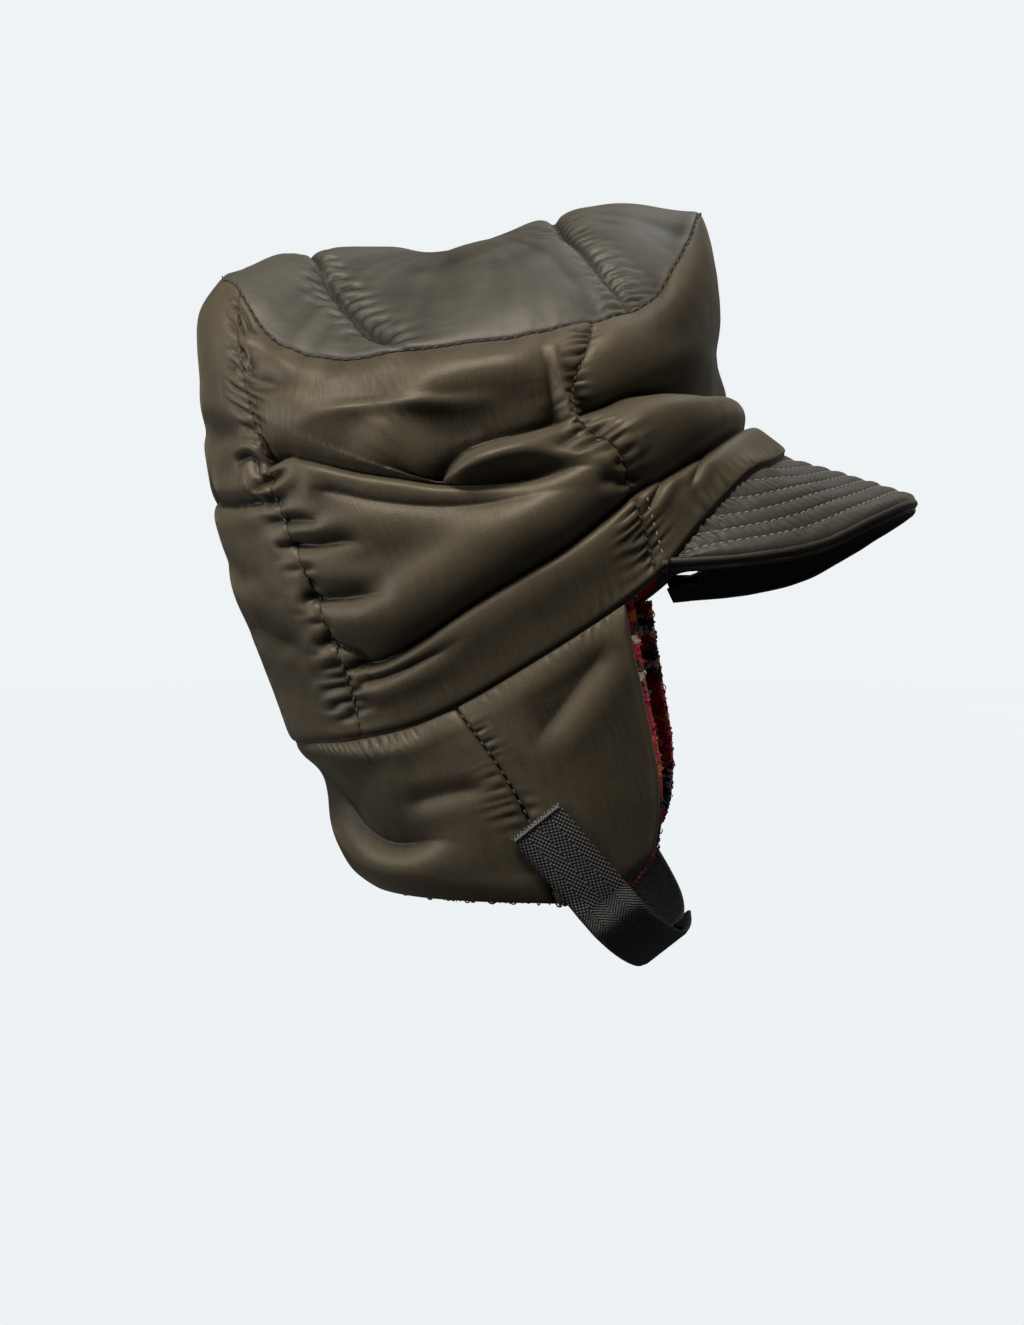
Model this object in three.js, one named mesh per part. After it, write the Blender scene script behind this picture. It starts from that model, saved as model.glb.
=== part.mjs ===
// A padded winter work cap with a quilted peak, ear flaps and a chin strap, as it sits on a head.
// Millimetres. The wearer looks along -Y, the wearer's right is -X, and +Z is up.
// The origin is the middle of the head opening, on the line between the brow and the nape.
import * as THREE from "three";

// Driving dimensions
const wall = 8; // the crown's shell, padding and lining together
const seamGap = 0.5; // between pieces that are sewn to each other
const ovalPower = 2.6; // 2 is an ellipse, more is squarer
const flapWall = 5;
const flapLiningWall = 4;
const liningShows = 4; // the fleece stands past the flap's front edge
const liningHang = 1; // and below its lower edge
const peakTopWall = 3.6;
const peakFacingWall = 2;
const peakGap = 0.6;
const peakRows = 8; // channels of padding along the peak, with a row of stitching between each two
const quiltHeight = 0.9; // how far the padding rises between two rows
const peakCamber = 0.5;
const webbingWidth = 23;
const webbingThick = 1.6;
const patchThick = 1.2; // each half of the hook-and-loop closure
const patchLength = 34;
const patchWidth = 18;

// A row for each level of the crown, from the head seam (rise 0) to the seam of the top (rise 1):
// the middle of the oval, its half length and pitch (front up), its half width,
// how far its right and left sides hang below the middle, and where the upright seams cross it
// (degrees from the front).
const crownLevels = [
  { rise: 0, forward: 0, up: 1, halfLength: 119, pitch: 30.5,
    halfWidth: 88, rightDrop: 27, leftDrop: 26, frontSeam: 65.2, rearSeam: 120 },
  { rise: 0.2, forward: -12.5, up: 22, halfLength: 110.6, pitch: 25.3,
    halfWidth: 92, rightDrop: 23, leftDrop: 22, frontSeam: 60.4, rearSeam: 117.8 },
  { rise: 0.4, forward: -22, up: 44, halfLength: 109, pitch: 19.2,
    halfWidth: 95, rightDrop: 18, leftDrop: 17, frontSeam: 58.8, rearSeam: 118.1 },
  { rise: 0.58, forward: -31, up: 74, halfLength: 105, pitch: 13,
    halfWidth: 95, rightDrop: 24, leftDrop: 22, frontSeam: 63.1, rearSeam: 120.8 },
  { rise: 0.75, forward: -32.5, up: 102, halfLength: 106, pitch: 8.8,
    halfWidth: 94, rightDrop: 32, leftDrop: 29, frontSeam: 64.9, rearSeam: 125.8 },
  { rise: 0.9, forward: -34, up: 130, halfLength: 105.9, pitch: 7.4,
    halfWidth: 91, rightDrop: 43, leftDrop: 39, frontSeam: 60.6, rearSeam: 130 },
  { rise: 1, forward: -32.2, up: 146.5, halfLength: 100, pitch: 7.2,
    halfWidth: 84, rightDrop: 50, leftDrop: 46, frontSeam: 58.8, rearSeam: 140 },
];

// How much of that drop the head seam and the top's seam take, by degrees from the front.
const seamDrops = [
  { angle: -20, head: 0.1, top: 0.36 },
  { angle: 0, head: 0, top: 0 },
  { angle: 20, head: 0.1, top: 0.36 },
  { angle: 36, head: 0.1, top: 0.76 },
  { angle: 52, head: 0.41, top: 0.96 },
  { angle: 66, head: 0.85, top: 1.01 },
  { angle: 90, head: 1.03, top: 1.03 },
  { angle: 105, head: 0.94, top: 1 },
  { angle: 124, head: 0.58, top: 0.77 },
  { angle: 145, head: 0.2, top: 0.22 },
  { angle: 180, head: -0.05, top: 0.02 },
  { angle: 215, head: 0.2, top: 0.22 },
];

// A row for each level of the ear and neck flap, from the head seam (fall 0) to its lower edge (fall 1):
// the oval it follows, and how far forward its front edge and its seam lie.
const flapLevels = [
  { fall: 0, forward: -1, halfLength: 100, halfWidth: 88, frontEdge: 41, seam: -23 },
  { fall: 0.2, forward: 0, halfLength: 90, halfWidth: 88, frontEdge: 44.5, seam: -14 },
  { fall: 0.4, forward: 1, halfLength: 86, halfWidth: 86, frontEdge: 48.5, seam: -5 },
  { fall: 0.7, forward: 4, halfLength: 84, halfWidth: 82, frontEdge: 53.7, seam: 7 },
  { fall: 0.9, forward: 6, halfLength: 81, halfWidth: 78, frontEdge: 51.5, seam: 12 },
  { fall: 1, forward: 8, halfLength: 78, halfWidth: 75, frontEdge: 44, seam: 14 },
];
const flapBottom = -117;
const flapCorner = { rise: 9, share: 0.12 }; // the lower edge turns up towards the front
const gather = { height: 1.1, pitch: 8, reach: 0.35 }; // elastic gathers along the nape

const peakAngle = 66; // the peak is sewn on to here, in degrees from the front
const peakTilt = 0.07; // its left side hangs lower

// A row for each fold of the crown. Its crease bends from one point of the side view to another,
// past a third.
// The cloth above it swells by roll and hangs down over it by lip, and the crease sinks by depth.
const crownFolds = [
  { side: -1, from: [-100, 50], via: [-62, 56], to: [-28, 46], depth: 4, roll: 5, lip: 4, reach: 20 },
  { side: -1, from: [-32, 49], via: [-8, 66], to: [23, 70], depth: 5, roll: 6, lip: 6, reach: 22 },
  { side: -1, from: [20, 70], via: [60, 86], to: [112, 88], depth: 6, roll: 1, lip: 4, reach: 20 },
  { side: -1, from: [-30, 45], via: [0, 48], to: [36, 50], depth: 3.5, roll: 6, lip: 3, reach: 12 },
  { side: -1, from: [-64, -24], via: [6, 12], to: [110, 88], depth: 5, roll: 5.5, lip: 5, reach: 24 },
  { side: -1, from: [-84, 66], via: [-40, 76], to: [10, 76], depth: 1.5, roll: 2.5, lip: 0, reach: 12 },
  { side: 1, from: [-96, 66], via: [-40, 52], to: [24, 82], depth: 3, roll: 4.5, lip: 4, reach: 24 },
  { side: 1, from: [-64, -20], via: [0, 18], to: [110, 88], depth: 3.5, roll: 4.5, lip: 4, reach: 24 },
  { side: 1, from: [0, 72], via: [50, 84], to: [112, 84], depth: 3, roll: 3, lip: 2, reach: 20 },
];

// The outline of the peak from its middle to its corner.
const peakStations = [
  { along: -0.2, across: -27, forward: 150.5, up: 38.2 },
  { along: 0, across: 0, forward: 156, up: 41 },
  { along: 0.2, across: 27, forward: 150.5, up: 38.2 },
  { along: 0.4, across: 49, forward: 135, up: 29.5 },
  { along: 0.6, across: 65, forward: 113.5, up: 18.5 },
  { along: 0.8, across: 76.5, forward: 86, up: 12.5 },
  { along: 1, across: 82.5, forward: 52, up: 9.5 },
];

// The chin strap hangs in a plane that slopes down and forward. A row for each place along one half:
// how far down that plane, and how far from the middle of the head.
const strapTop = { forward: 7, up: -83.5 };
const strapSlope = 51; // degrees below the horizontal
const strapRun = [
  { down: 40, across: 80 },
  { down: 51, across: 75.5 },
  { down: 62, across: 64 },
  { down: 71, across: 46 },
  { down: 75.5, across: 26 },
  { down: 77, across: 0 },
  { down: 75.8, across: -22 },
];

// Small helpers
const radians = (degrees) => (degrees * Math.PI) / 180;
const mix = (a, b, share) => a + (b - a) * share;
const clamp = (value, low, high) => Math.min(high, Math.max(low, value));
const smooth = (value) => value * value * (3 - 2 * value);
const hump = (distance, width) => Math.exp(-((distance / width) ** 2));
const power = (value, exponent) => Math.sign(value) * Math.abs(value) ** exponent;

// Reads one column of a table between its rows, on a smooth curve.
function column(rows, key, name, at) {
  let i = 0;
  while (i < rows.length - 2 && at > rows[i + 1][key]) i++;
  const before = rows[Math.max(i - 1, 0)];
  const [a, b] = [rows[i], rows[i + 1]];
  const after = rows[Math.min(i + 2, rows.length - 1)];
  const span = b[key] - a[key];
  const share = (at - a[key]) / span;
  const slopeA = ((b[name] - before[name]) / (b[key] - before[key])) * span;
  const slopeB = ((after[name] - a[name]) / (after[key] - a[key])) * span;
  const s2 = share * share;
  const s3 = s2 * share;
  const ends = (2 * s3 - 3 * s2 + 1) * a[name] + (3 * s2 - 2 * s3) * b[name];
  return ends + (s3 - 2 * s2 + share) * slopeA + (s3 - s2) * slopeB;
}

// A point from its distance to the left, forward and up.
const place = (left, forward, up) => new THREE.Vector3(left, -forward, up);

// Crown
// Angle 0 is the front, 90 the wearer's right, 180 the back.
function crownOval(angle, rise) {
  const level = (name) => column(crownLevels, "rise", name, rise);
  const cos = Math.cos(angle);
  const sin = Math.sin(angle);
  const along = power(cos, 2 / ovalPower) * level("halfLength");
  const share = (seam) => column(seamDrops, "angle", seam, (Math.acos(cos) * 180) / Math.PI);
  const hang = mix(share("head"), share("top"), clamp(rise, 0, 1));
  const drop = level(sin > 0 ? "rightDrop" : "leftDrop") * hang;
  const pitch = radians(level("pitch"));
  return place(
    -power(sin, 2 / ovalPower) * level("halfWidth"),
    level("forward") + along * Math.cos(pitch),
    level("up") + along * Math.sin(pitch) - drop,
  );
}

function normalOf(surface, u, v, du, dv) {
  const alongU = surface(u + du, v).sub(surface(u - du, v));
  const alongV = surface(u, v + dv).sub(surface(u, v - dv));
  return alongU.cross(alongV).normalize();
}

// How far the folds push a point of the crown out and down.
function foldShift(point) {
  let out = 0;
  let down = 0;
  for (const fold of crownFolds) {
    let nearest = Infinity;
    let above = 0;
    let at = 0;
    for (let k = 0; k <= 24; k++) {
      const t = k / 24;
      const bend = (c) => (1 - t) ** 2 * fold.from[c] + 2 * t * (1 - t) * fold.via[c] + t * t * fold.to[c];
      const [forward, up] = [bend(0), bend(1)];
      const distance = Math.hypot(-point.y - forward, point.z - up);
      if (distance < nearest) [nearest, above, at] = [distance, point.z - up, t];
    }
    const gap = above < 0 ? -nearest : nearest;
    const sideways = smooth(clamp((point.x * fold.side + 10) / 24, 0, 1));
    const fade = smooth(clamp(Math.min(at, 1 - at) * 5, 0, 1)) * sideways;
    const middle = fold.reach * 0.42;
    out += fade * (fold.roll * hump(gap - middle, middle) - fold.depth * hump(gap, fold.reach * 0.2));
    down += fade * fold.lip * hump(gap - middle * 0.8, middle * 0.8);
  }
  return { out, down };
}

// The crown's surface, at a depth below its outer face.
function crownPoint(angle, rise, depth) {
  const point = crownOval(angle, rise);
  const normal = normalOf(crownOval, angle, clamp(rise, 0.02, 0.985), -0.02, 0.015);
  if (depth > 0) return point.addScaledVector(normal, -depth);
  const edge = smooth(clamp(Math.min(rise, 1 - rise) * 9, 0, 1));
  const { out, down } = foldShift(point);
  const padding = 3.2 * Math.sin(Math.PI * clamp(rise, 0, 1)) ** 0.5;
  point.addScaledVector(normal, edge * out + padding);
  point.z -= edge * down;
  return point;
}

// A closed pad: an outer face of rows by columns of points, and an inner face of every few of them.
function pad(rows, columns, outer, inner, rowStep, columnStep) {
  const points = [];
  const triangles = [];
  const grid = (at, dr, dc) => {
    const made = [];
    for (let r = 0; r <= rows; r += dr) {
      made.push([]);
      for (let c = 0; c <= columns; c += dc) made.at(-1).push(points.push(at(r / rows, c / columns)) - 1);
    }
    return made;
  };
  const front = grid(outer, 1, 1);
  const back = grid(inner, rowStep, columnStep);
  const quads = (g, turned) => {
    for (let r = 0; r + 1 < g.length; r++)
      for (let c = 0; c + 1 < g[r].length; c++) {
        const [a, b, d, e] = [g[r][c], g[r][c + 1], g[r + 1][c + 1], g[r + 1][c]];
        if (turned) triangles.push(a, b, d, a, d, e);
        else triangles.push(a, d, b, a, e, d);
      }
  };
  quads(front, false);
  quads(back, true);
  const rim = (fine, coarse, step) => {
    const half = Math.ceil(step / 2);
    for (let i = 0; i + 1 < coarse.length; i++) {
      triangles.push(coarse[i], fine[i * step + half], coarse[i + 1]);
      for (let k = 0; k < step; k++)
        triangles.push(coarse[k < half ? i : i + 1], fine[i * step + k], fine[i * step + k + 1]);
    }
  };
  rim(front[0], back[0], columnStep);
  rim([...front.at(-1)].reverse(), [...back.at(-1)].reverse(), columnStep);
  rim(front.map((row) => row[0]).reverse(), back.map((row) => row[0]).reverse(), rowStep);
  rim(front.map((row) => row.at(-1)), back.map((row) => row.at(-1)), rowStep);
  const geometry = new THREE.BufferGeometry();
  const numbers = points.flatMap((p) => [p.x, p.y, p.z]);
  geometry.setAttribute("position", new THREE.Float32BufferAttribute(numbers, 3));
  geometry.setIndex(triangles);
  geometry.computeVertexNormals();
  return geometry;
}

const crownRows = 28;

function crownPanel(from, to, columns) {
  const half = seamGap / 2 / 90; // half the seam's gap as an angle
  const angleAt = (u, rise) => mix(from(rise) + half, to(rise) - half, u);
  return pad(
    crownRows, columns,
    (v, u) => crownPoint(angleAt(u, v), v, 0),
    (v, u) => crownPoint(angleAt(u, v), 0.98 * v, mix(flapWall, wall, smooth(clamp(4 * v, 0, 1)))),
    4, 2,
  );
}

// The top is held up by the head in its middle and sinks towards its seam. Its padding swells between
// two cross seams, which bow to the rear. Distances are forward of the head's middle.
const crossSeams = [-99, 6];
const seamBow = 34 / 66 ** 2;
const topRound = 1.9; // 1 is a cone, 2 a bowl
const topSwell = [
  { forward: -130, height: 3 },
  { forward: -92, height: 3.5 },
  { forward: -70, height: 1.5 },
  { forward: -40, height: 0.5 },
  { forward: -14, height: 6 },
  { forward: 10, height: 12 },
  { forward: 40, height: 15 },
  { forward: 68, height: 6 },
];
const topGroove = 4;
const topLift = 1.1; // the top lies this far above the walls' upper edge
const topMiddle = place(0, -32.2, 146.5);

// Spreads a square over the oval: ahead and aside run from -1 to 1.
function topPoint(ahead, aside, depth) {
  const x = ahead * Math.sqrt(1 - (aside * aside) / 2);
  const y = aside * Math.sqrt(1 - (ahead * ahead) / 2);
  const share = Math.hypot(x, y);
  const edge = crownPoint(Math.atan2(y, x), 1, depth);
  const point = topMiddle.clone().lerp(edge, share * (1 - seamGap / 90));
  point.z = mix(topMiddle.z - depth, edge.z, share ** topRound) + topLift;
  if (depth > 0) return point;
  const inward = 1 - share ** 3;
  const forward = -point.y;
  let swell = column(topSwell, "forward", "height", clamp(forward, -130, 68)) * inward;
  for (const seam of crossSeams) {
    swell -= topGroove * hump(forward - seam - seamBow * point.x ** 2, 6) * inward;
  }
  point.z += swell;
  return point;
}

const crownTop = () => pad(
  26, 20,
  (v, u) => topPoint(mix(-1, 1, v), mix(1, -1, u), 0),
  (v, u) => topPoint(mix(-1, 1, v), mix(1, -1, u), wall),
  2, 2,
);

// Flap
// around runs from 0 at the right front edge over the back to 1 at the left one.
function flapAngle(edge, level) {
  const cos = clamp((edge - level("forward")) / level("halfLength"), -1, 1);
  return Math.acos(power(cos, ovalPower / 2));
}

// How high the head seam runs, side 1 being the right.
function headSeamUp(forward, side) {
  const seam = crownLevels[0];
  const behind = forward < seam.forward;
  const reach = behind ? flapLevels[0].halfLength : seam.halfLength * Math.cos(radians(seam.pitch));
  const cos = (forward - seam.forward) / reach;
  return crownOval(side * Math.acos(power(clamp(cos, -1, 1), ovalPower / 2)), 0).z;
}

function flapBase(around, fall, past) {
  const level = (name) => column(flapLevels, "fall", name, clamp(fall, 0, 1));
  const first = flapAngle(level("frontEdge") + past, level);
  const seam = flapAngle(level("seam"), level);
  const side = around < 0.5 ? 1 : -1;
  const inward = around < 0.5 ? around : 1 - around; // 0 at a front edge, 0.5 at the back
  const angle = inward < earShare
    ? mix(first, seam, inward / earShare)
    : mix(seam, Math.PI, (inward - earShare) / (0.5 - earShare));
  const corner = flapCorner.rise * smooth(clamp(1 - inward / flapCorner.share, 0, 1));
  const low = flapBottom + corner;
  const forward = level("forward") + power(Math.cos(angle), 2 / ovalPower) * level("halfLength");
  return place(
    -side * power(Math.sin(angle), 2 / ovalPower) * level("halfWidth"),
    forward,
    mix(headSeamUp(forward, side) - 2 * seamGap, low, fall),
  );
}
const earShare = 0.24; // the part of the way round that one ear panel takes

function flapPoint(around, fall, depth, past) {
  const surface = (u, v) => flapBase(u, v, past);
  const point = flapBase(around, fall, past);
  const normal = normalOf(surface, clamp(around, 0.01, 0.99), clamp(fall, 0.05, 0.95), -0.008, -0.04);
  normal.setZ(0).normalize();
  if (depth > 0) return point.addScaledVector(normal, -depth);
  const nape = smooth(clamp((0.5 - Math.abs(around - 0.5) - earShare) * 12, 0, 1));
  const backLength = 250;
  const acrossBack = ((around - earShare) / (1 - 2 * earShare)) * backLength;
  const wave = Math.cos((acrossBack * 2 * Math.PI) / gather.pitch);
  const gathers = gather.height * wave * nape * hump(fall, gather.reach);
  const edge = Math.min(fall, 1 - fall) * 6;
  const front = Math.min(around, 1 - around) * 40;
  const puff = 2.6 * smooth(clamp(Math.min(edge, front), 0, 1));
  return point.addScaledVector(normal, puff + gathers * smooth(clamp(edge * 2, 0, 1)));
}

function flapPanel(from, to, columns, columnStep) {
  const half = seamGap / 2 / 500;
  const [a, b] = [from === 0 ? 0 : from + half, to === 1 ? 1 : to - half];
  return pad(
    8, columns,
    (v, u) => flapPoint(mix(a, b, u), 1 - v, 0, 0),
    (v, u) => flapPoint(mix(a, b, u), 1 - v, flapWall, 0),
    2, columnStep,
  );
}

function flapLining() {
  const outside = flapWall + 2 * seamGap;
  const fallAt = (v) => mix(1 + liningHang / 100, 0.04, v);
  return pad(
    4, 48,
    (v, u) => flapPoint(u, fallAt(v), outside, liningShows),
    (v, u) => flapPoint(u, fallAt(v), outside + flapLiningWall, liningShows),
    1, 2,
  );
}

// Peak
function peakEdge(along) {
  const station = (name) => column(peakStations, "along", name, Math.abs(along));
  const left = -Math.sign(along) * station("across");
  return place(left, station("forward"), station("up") - peakTilt * left);
}

function peakRoot(along) {
  const seam = crownOval(radians(peakAngle) * along, 0);
  const normal = normalOf(crownOval, radians(peakAngle) * along, 0.03, -0.02, 0.015);
  seam.z -= 3 * seamGap;
  return seam.addScaledVector(normal, -2);
}

// A point of the peak: out runs from the crown's seam (0) to the peak's edge (1).
function peakPoint(along, out, depth, quilt) {
  const point = peakRoot(along).lerp(peakEdge(along), out);
  const camber = peakCamber * Math.sin(Math.PI * out) * (1 - along * along);
  const lean = new THREE.Vector3(-0.55 * along, -0.12, 1).normalize();
  return point.addScaledVector(lean, camber + quilt - depth);
}

const peakReach = (along) => peakRoot(along).distanceTo(peakEdge(along));
const peakDeepest = peakReach(0) * 0.97;

// Where a line at this distance from the peak's edge meets the crown's seam.
function peakMeets(inset) {
  let [low, high] = [0, 1];
  for (let k = 0; k < 30; k++) {
    const middle = (low + high) / 2;
    if (peakReach(middle) > inset) low = middle;
    else high = middle;
  }
  return low;
}

// The padding runs in channels that follow the edge, and end at the crown's seam.
function peakLayer(top, bottom, quilted, rows, columns, step) {
  const at = (v, u, depth, puffed) => {
    const inset = mix(0.02, peakDeepest, v);
    const along = mix(-0.985, 0.985, u) * peakMeets(inset);
    const out = clamp(1 - inset / peakReach(along), 0, 1);
    const swell = Math.abs(Math.sin((Math.PI * peakRows * inset) / peakReach(0))) ** 0.7;
    return peakPoint(along, out, depth, puffed ? quiltHeight * swell : 0);
  };
  return pad(
    rows, columns,
    (v, u) => at(v, u, top, quilted),
    (v, u) => at(v, u, bottom, false),
    step, step,
  );
}

// Chin strap
// How far from the middle the flap's outer face lies, at a place of the side view.
function flapReach(forward, up) {
  const at = clamp(up, flapBottom + 1, 0);
  let fall = 0.5;
  let angle = Math.PI / 2;
  const level = (name) => column(flapLevels, "fall", name, fall);
  for (let k = 0; k < 6; k++) {
    angle = flapAngle(forward, level);
    const head = headSeamUp(forward, 1);
    fall = clamp((head - at) / (head - flapBottom), 0, 1);
  }
  return power(Math.sin(angle), 2 / ovalPower) * level("halfWidth") + 2.6;
}

const strapDown = [Math.cos(radians(strapSlope)), -Math.sin(radians(strapSlope))]; // forward, up
const strapWide = [Math.sin(radians(strapSlope)), Math.cos(radians(strapSlope))];
const strapClear = 0.9;
const freeFrom = strapRun[0].down;
const layerStep = webbingThick + 2 * patchThick + 0.9; // the left half passes above the right one

// A point of the strap's middle layer: down along it, and from -1 to 1 across its width.
function strapPoint(side, travel, width) {
  const half = (webbingWidth / 2) * width;
  const run = clamp((travel - freeFrom) / (strapLength - freeFrom), 0, 1);
  const inner = side > 0 ? layerStep * smooth(clamp(3 * run, 0, 1)) : 0;
  const spot = (down) => [
    strapTop.forward + strapDown[0] * (down - inner) + strapWide[0] * half,
    strapTop.up + strapDown[1] * (down - inner) + strapWide[1] * half,
  ];
  const reach = ([forward, up]) => flapReach(forward, up) + strapClear + webbingThick / 2;
  if (travel <= freeFrom) {
    const [forward, up] = spot(travel);
    return place(side * reach([forward, up]), forward, up);
  }
  const rows = strapRun.map((row, k) => ({ ...row, k }));
  const t = run * (rows.length - 1);
  const settle = (reach(spot(freeFrom)) - strapRun[0].across) * (1 - smooth(clamp(t, 0, 1)));
  const [forward, up] = spot(column(rows, "k", "down", t));
  return place(side * (column(rows, "k", "across", t) + settle), forward, up);
}
const strapLength = 190;

function ribbon(side, from, to, width, thick, lift, steps) {
  const at = (v, u, offset) => {
    const travel = mix(from, to, v);
    const cross = mix(-1, 1, u) * (width / webbingWidth);
    const ahead = strapPoint(side, Math.min(travel + 1, strapLength), cross);
    const behind = strapPoint(side, Math.max(travel - 1, 0), cross);
    const alongWidth = strapPoint(side, travel, 1).sub(strapPoint(side, travel, -1));
    const normal = ahead.sub(behind).cross(alongWidth).normalize().multiplyScalar(side);
    return strapPoint(side, travel, cross).addScaledVector(normal, offset);
  };
  return pad(
    steps, 2,
    (v, u) => at(side > 0 ? v : 1 - v, u, lift + thick / 2),
    (v, u) => at(side > 0 ? v : 1 - v, u, lift - thick / 2),
    1, 1,
  );
}

// Materials
const cloth = { color: 0x4a4435, roughness: 0.45, metalness: 0 };
const fleece = { color: 0x8a1626, roughness: 0.95, metalness: 0 };
const underside = { color: 0x1d2026, roughness: 0.6, metalness: 0 };
const webbing = { color: 0x1c1d1f, roughness: 0.7, metalness: 0 };

const cap = new THREE.Group();

function add(name, geometry, look) {
  const mesh = new THREE.Mesh(geometry, new THREE.MeshStandardMaterial(look));
  mesh.name = name;
  cap.add(mesh);
}

// The angle of an upright seam at each rise, on the right, on the left, or on the left past the back.
const seamDegrees = (seam, rise) => radians(column(crownLevels, "rise", seam, rise));
const onRight = (seam) => (rise) => seamDegrees(seam, rise);
const onLeft = (seam) => (rise) => -seamDegrees(seam, rise);
const pastBack = (seam) => (rise) => 2 * Math.PI - seamDegrees(seam, rise);

add("crown_front_panel", crownPanel(onLeft("frontSeam"), onRight("frontSeam"), 20), cloth);
add("crown_right_panel", crownPanel(onRight("frontSeam"), onRight("rearSeam"), 20), cloth);
add("crown_back_panel", crownPanel(onRight("rearSeam"), pastBack("rearSeam"), 16), cloth);
add("crown_left_panel", crownPanel(pastBack("rearSeam"), pastBack("frontSeam"), 14), cloth);
add("crown_top", crownTop(), cloth);
add("ear_flap_right", flapPanel(0, earShare, 14, 2), cloth);
add("neck_flap", flapPanel(earShare, 1 - earShare, 62, 2), cloth);
add("ear_flap_left", flapPanel(1 - earShare, 1, 14, 2), cloth);
add("flap_lining", flapLining(), fleece);

const facingTop = peakTopWall + peakGap;
add("peak_top", peakLayer(0, peakTopWall, true, 2 * peakRows, 24, 2), cloth);
add("peak_facing", peakLayer(facingTop, facingTop + peakFacingWall, false, peakRows, 12, 1), underside);

const webbingSteps = 26;
const patchLift = webbingThick / 2 + 0.3 + patchThick / 2;
const patch = [strapLength - patchLength - 2, strapLength - 2, patchWidth, patchThick];
add("strap_right", ribbon(-1, 0, strapLength, webbingWidth, webbingThick, 0, webbingSteps), webbing);
add("strap_left", ribbon(1, 0, strapLength, webbingWidth, webbingThick, 0, webbingSteps), webbing);
add("fastener_hook", ribbon(-1, ...patch, patchLift, 6), webbing);
add("fastener_loop", ribbon(1, ...patch, -patchLift, 6), webbing);

export default cap;
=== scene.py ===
import math
import bmesh
import bpy
import numpy as np
from mathutils import Matrix, Vector


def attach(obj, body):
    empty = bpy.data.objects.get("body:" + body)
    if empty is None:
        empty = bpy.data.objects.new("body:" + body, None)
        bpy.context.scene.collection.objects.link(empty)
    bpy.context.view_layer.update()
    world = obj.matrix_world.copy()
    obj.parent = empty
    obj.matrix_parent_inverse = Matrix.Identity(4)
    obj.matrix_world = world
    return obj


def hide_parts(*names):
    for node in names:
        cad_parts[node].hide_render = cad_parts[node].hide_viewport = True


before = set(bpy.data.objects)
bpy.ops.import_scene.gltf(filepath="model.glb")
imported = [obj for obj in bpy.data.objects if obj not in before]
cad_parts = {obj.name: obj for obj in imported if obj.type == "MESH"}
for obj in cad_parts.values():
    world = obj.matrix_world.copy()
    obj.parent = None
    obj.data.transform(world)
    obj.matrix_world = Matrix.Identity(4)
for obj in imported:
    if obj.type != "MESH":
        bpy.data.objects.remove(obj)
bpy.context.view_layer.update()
mm = 0.001  # the tables below are in millimetres, the meshes in metres
upward = np.array([0, 0, 1.0])

# Small helpers on tables and arrays

def table(names, rows):
    return [dict(zip(names.split(), row)) for row in rows]


def mix(a, b, share):
    return a + (b - a) * share


def smooth(value):
    value = np.clip(value, 0, 1)
    return value * value * (3 - 2 * value)


def hump(distance, width):
    return np.exp(-((distance / width) ** 2))


def power(value, exponent):
    return np.sign(value) * np.abs(value) ** exponent


def column(rows, key, name, at):  # one column of a table, read between its rows on a smooth curve
    x = np.array([row[key] for row in rows], float)
    y = np.array([row[name] for row in rows], float)
    i = np.searchsorted(x[1:-1], at, "left")
    before, after = np.maximum(i - 1, 0), np.minimum(i + 2, len(x) - 1)
    span = x[i + 1] - x[i]
    t = (at - x[i]) / span
    slopeA = (y[i + 1] - y[before]) / (x[i + 1] - x[before]) * span
    slopeB = (y[after] - y[i]) / (x[after] - x[i]) * span
    ends = (2 * t**3 - 3 * t**2 + 1) * y[i] + (3 * t**2 - 2 * t**3) * y[i + 1]
    return ends + (t**3 - 2 * t**2 + t) * slopeA + (t**3 - t**2) * slopeB


def place(left, forward, up):
    left, forward, up = np.broadcast_arrays(left, forward, up)
    return np.stack([left, -forward, up], -1).astype(float)


def unit(vectors):
    return vectors / np.maximum(np.linalg.norm(vectors, axis=-1, keepdims=True), 1e-9)


def gridNormals(points):
    return unit(np.cross(np.gradient(points, axis=0), np.gradient(points, axis=1)))


def lengths(points, axis):  # the way along a grid's rows or columns, from its first edge
    steps = np.linalg.norm(np.diff(points, axis=axis), axis=-1)
    return np.insert(np.cumsum(steps, axis), 0, 0, axis=axis)


def extended(field):  # one row more at each end, straight on
    return np.concatenate([2 * field[:1] - field[1:2], field, 2 * field[-1:] - field[-2:-1]])


def softNoise(x, y, z, seed):  # a smooth field, one bump per unit, from -1 to 1
    heights = np.random.default_rng(seed).uniform(-1, 1, (32, 32, 32))
    x, y, z = np.broadcast_arrays(x, y, z)
    i, j, k = np.floor(x).astype(int), np.floor(y).astype(int), np.floor(z).astype(int)
    a, b, c = smooth(x - i), smooth(y - j), smooth(z - k)
    total = 0
    for di in (0, 1):
        for dj in (0, 1):
            for dk in (0, 1):
                share = (a if di else 1 - a) * (b if dj else 1 - b) * (c if dk else 1 - c)
                total = total + share * heights[(i + di) % 32, (j + dj) % 32, (k + dk) % 32]
    return total


def noiseAt(points, size, seed):
    return softNoise(*np.moveaxis(points / size, -1, 0), seed)


# Meshes

def added(name, data):  # an object of the scene
    made = bpy.data.objects.new(name, data)
    bpy.context.scene.collection.objects.link(made)
    return made


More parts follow.
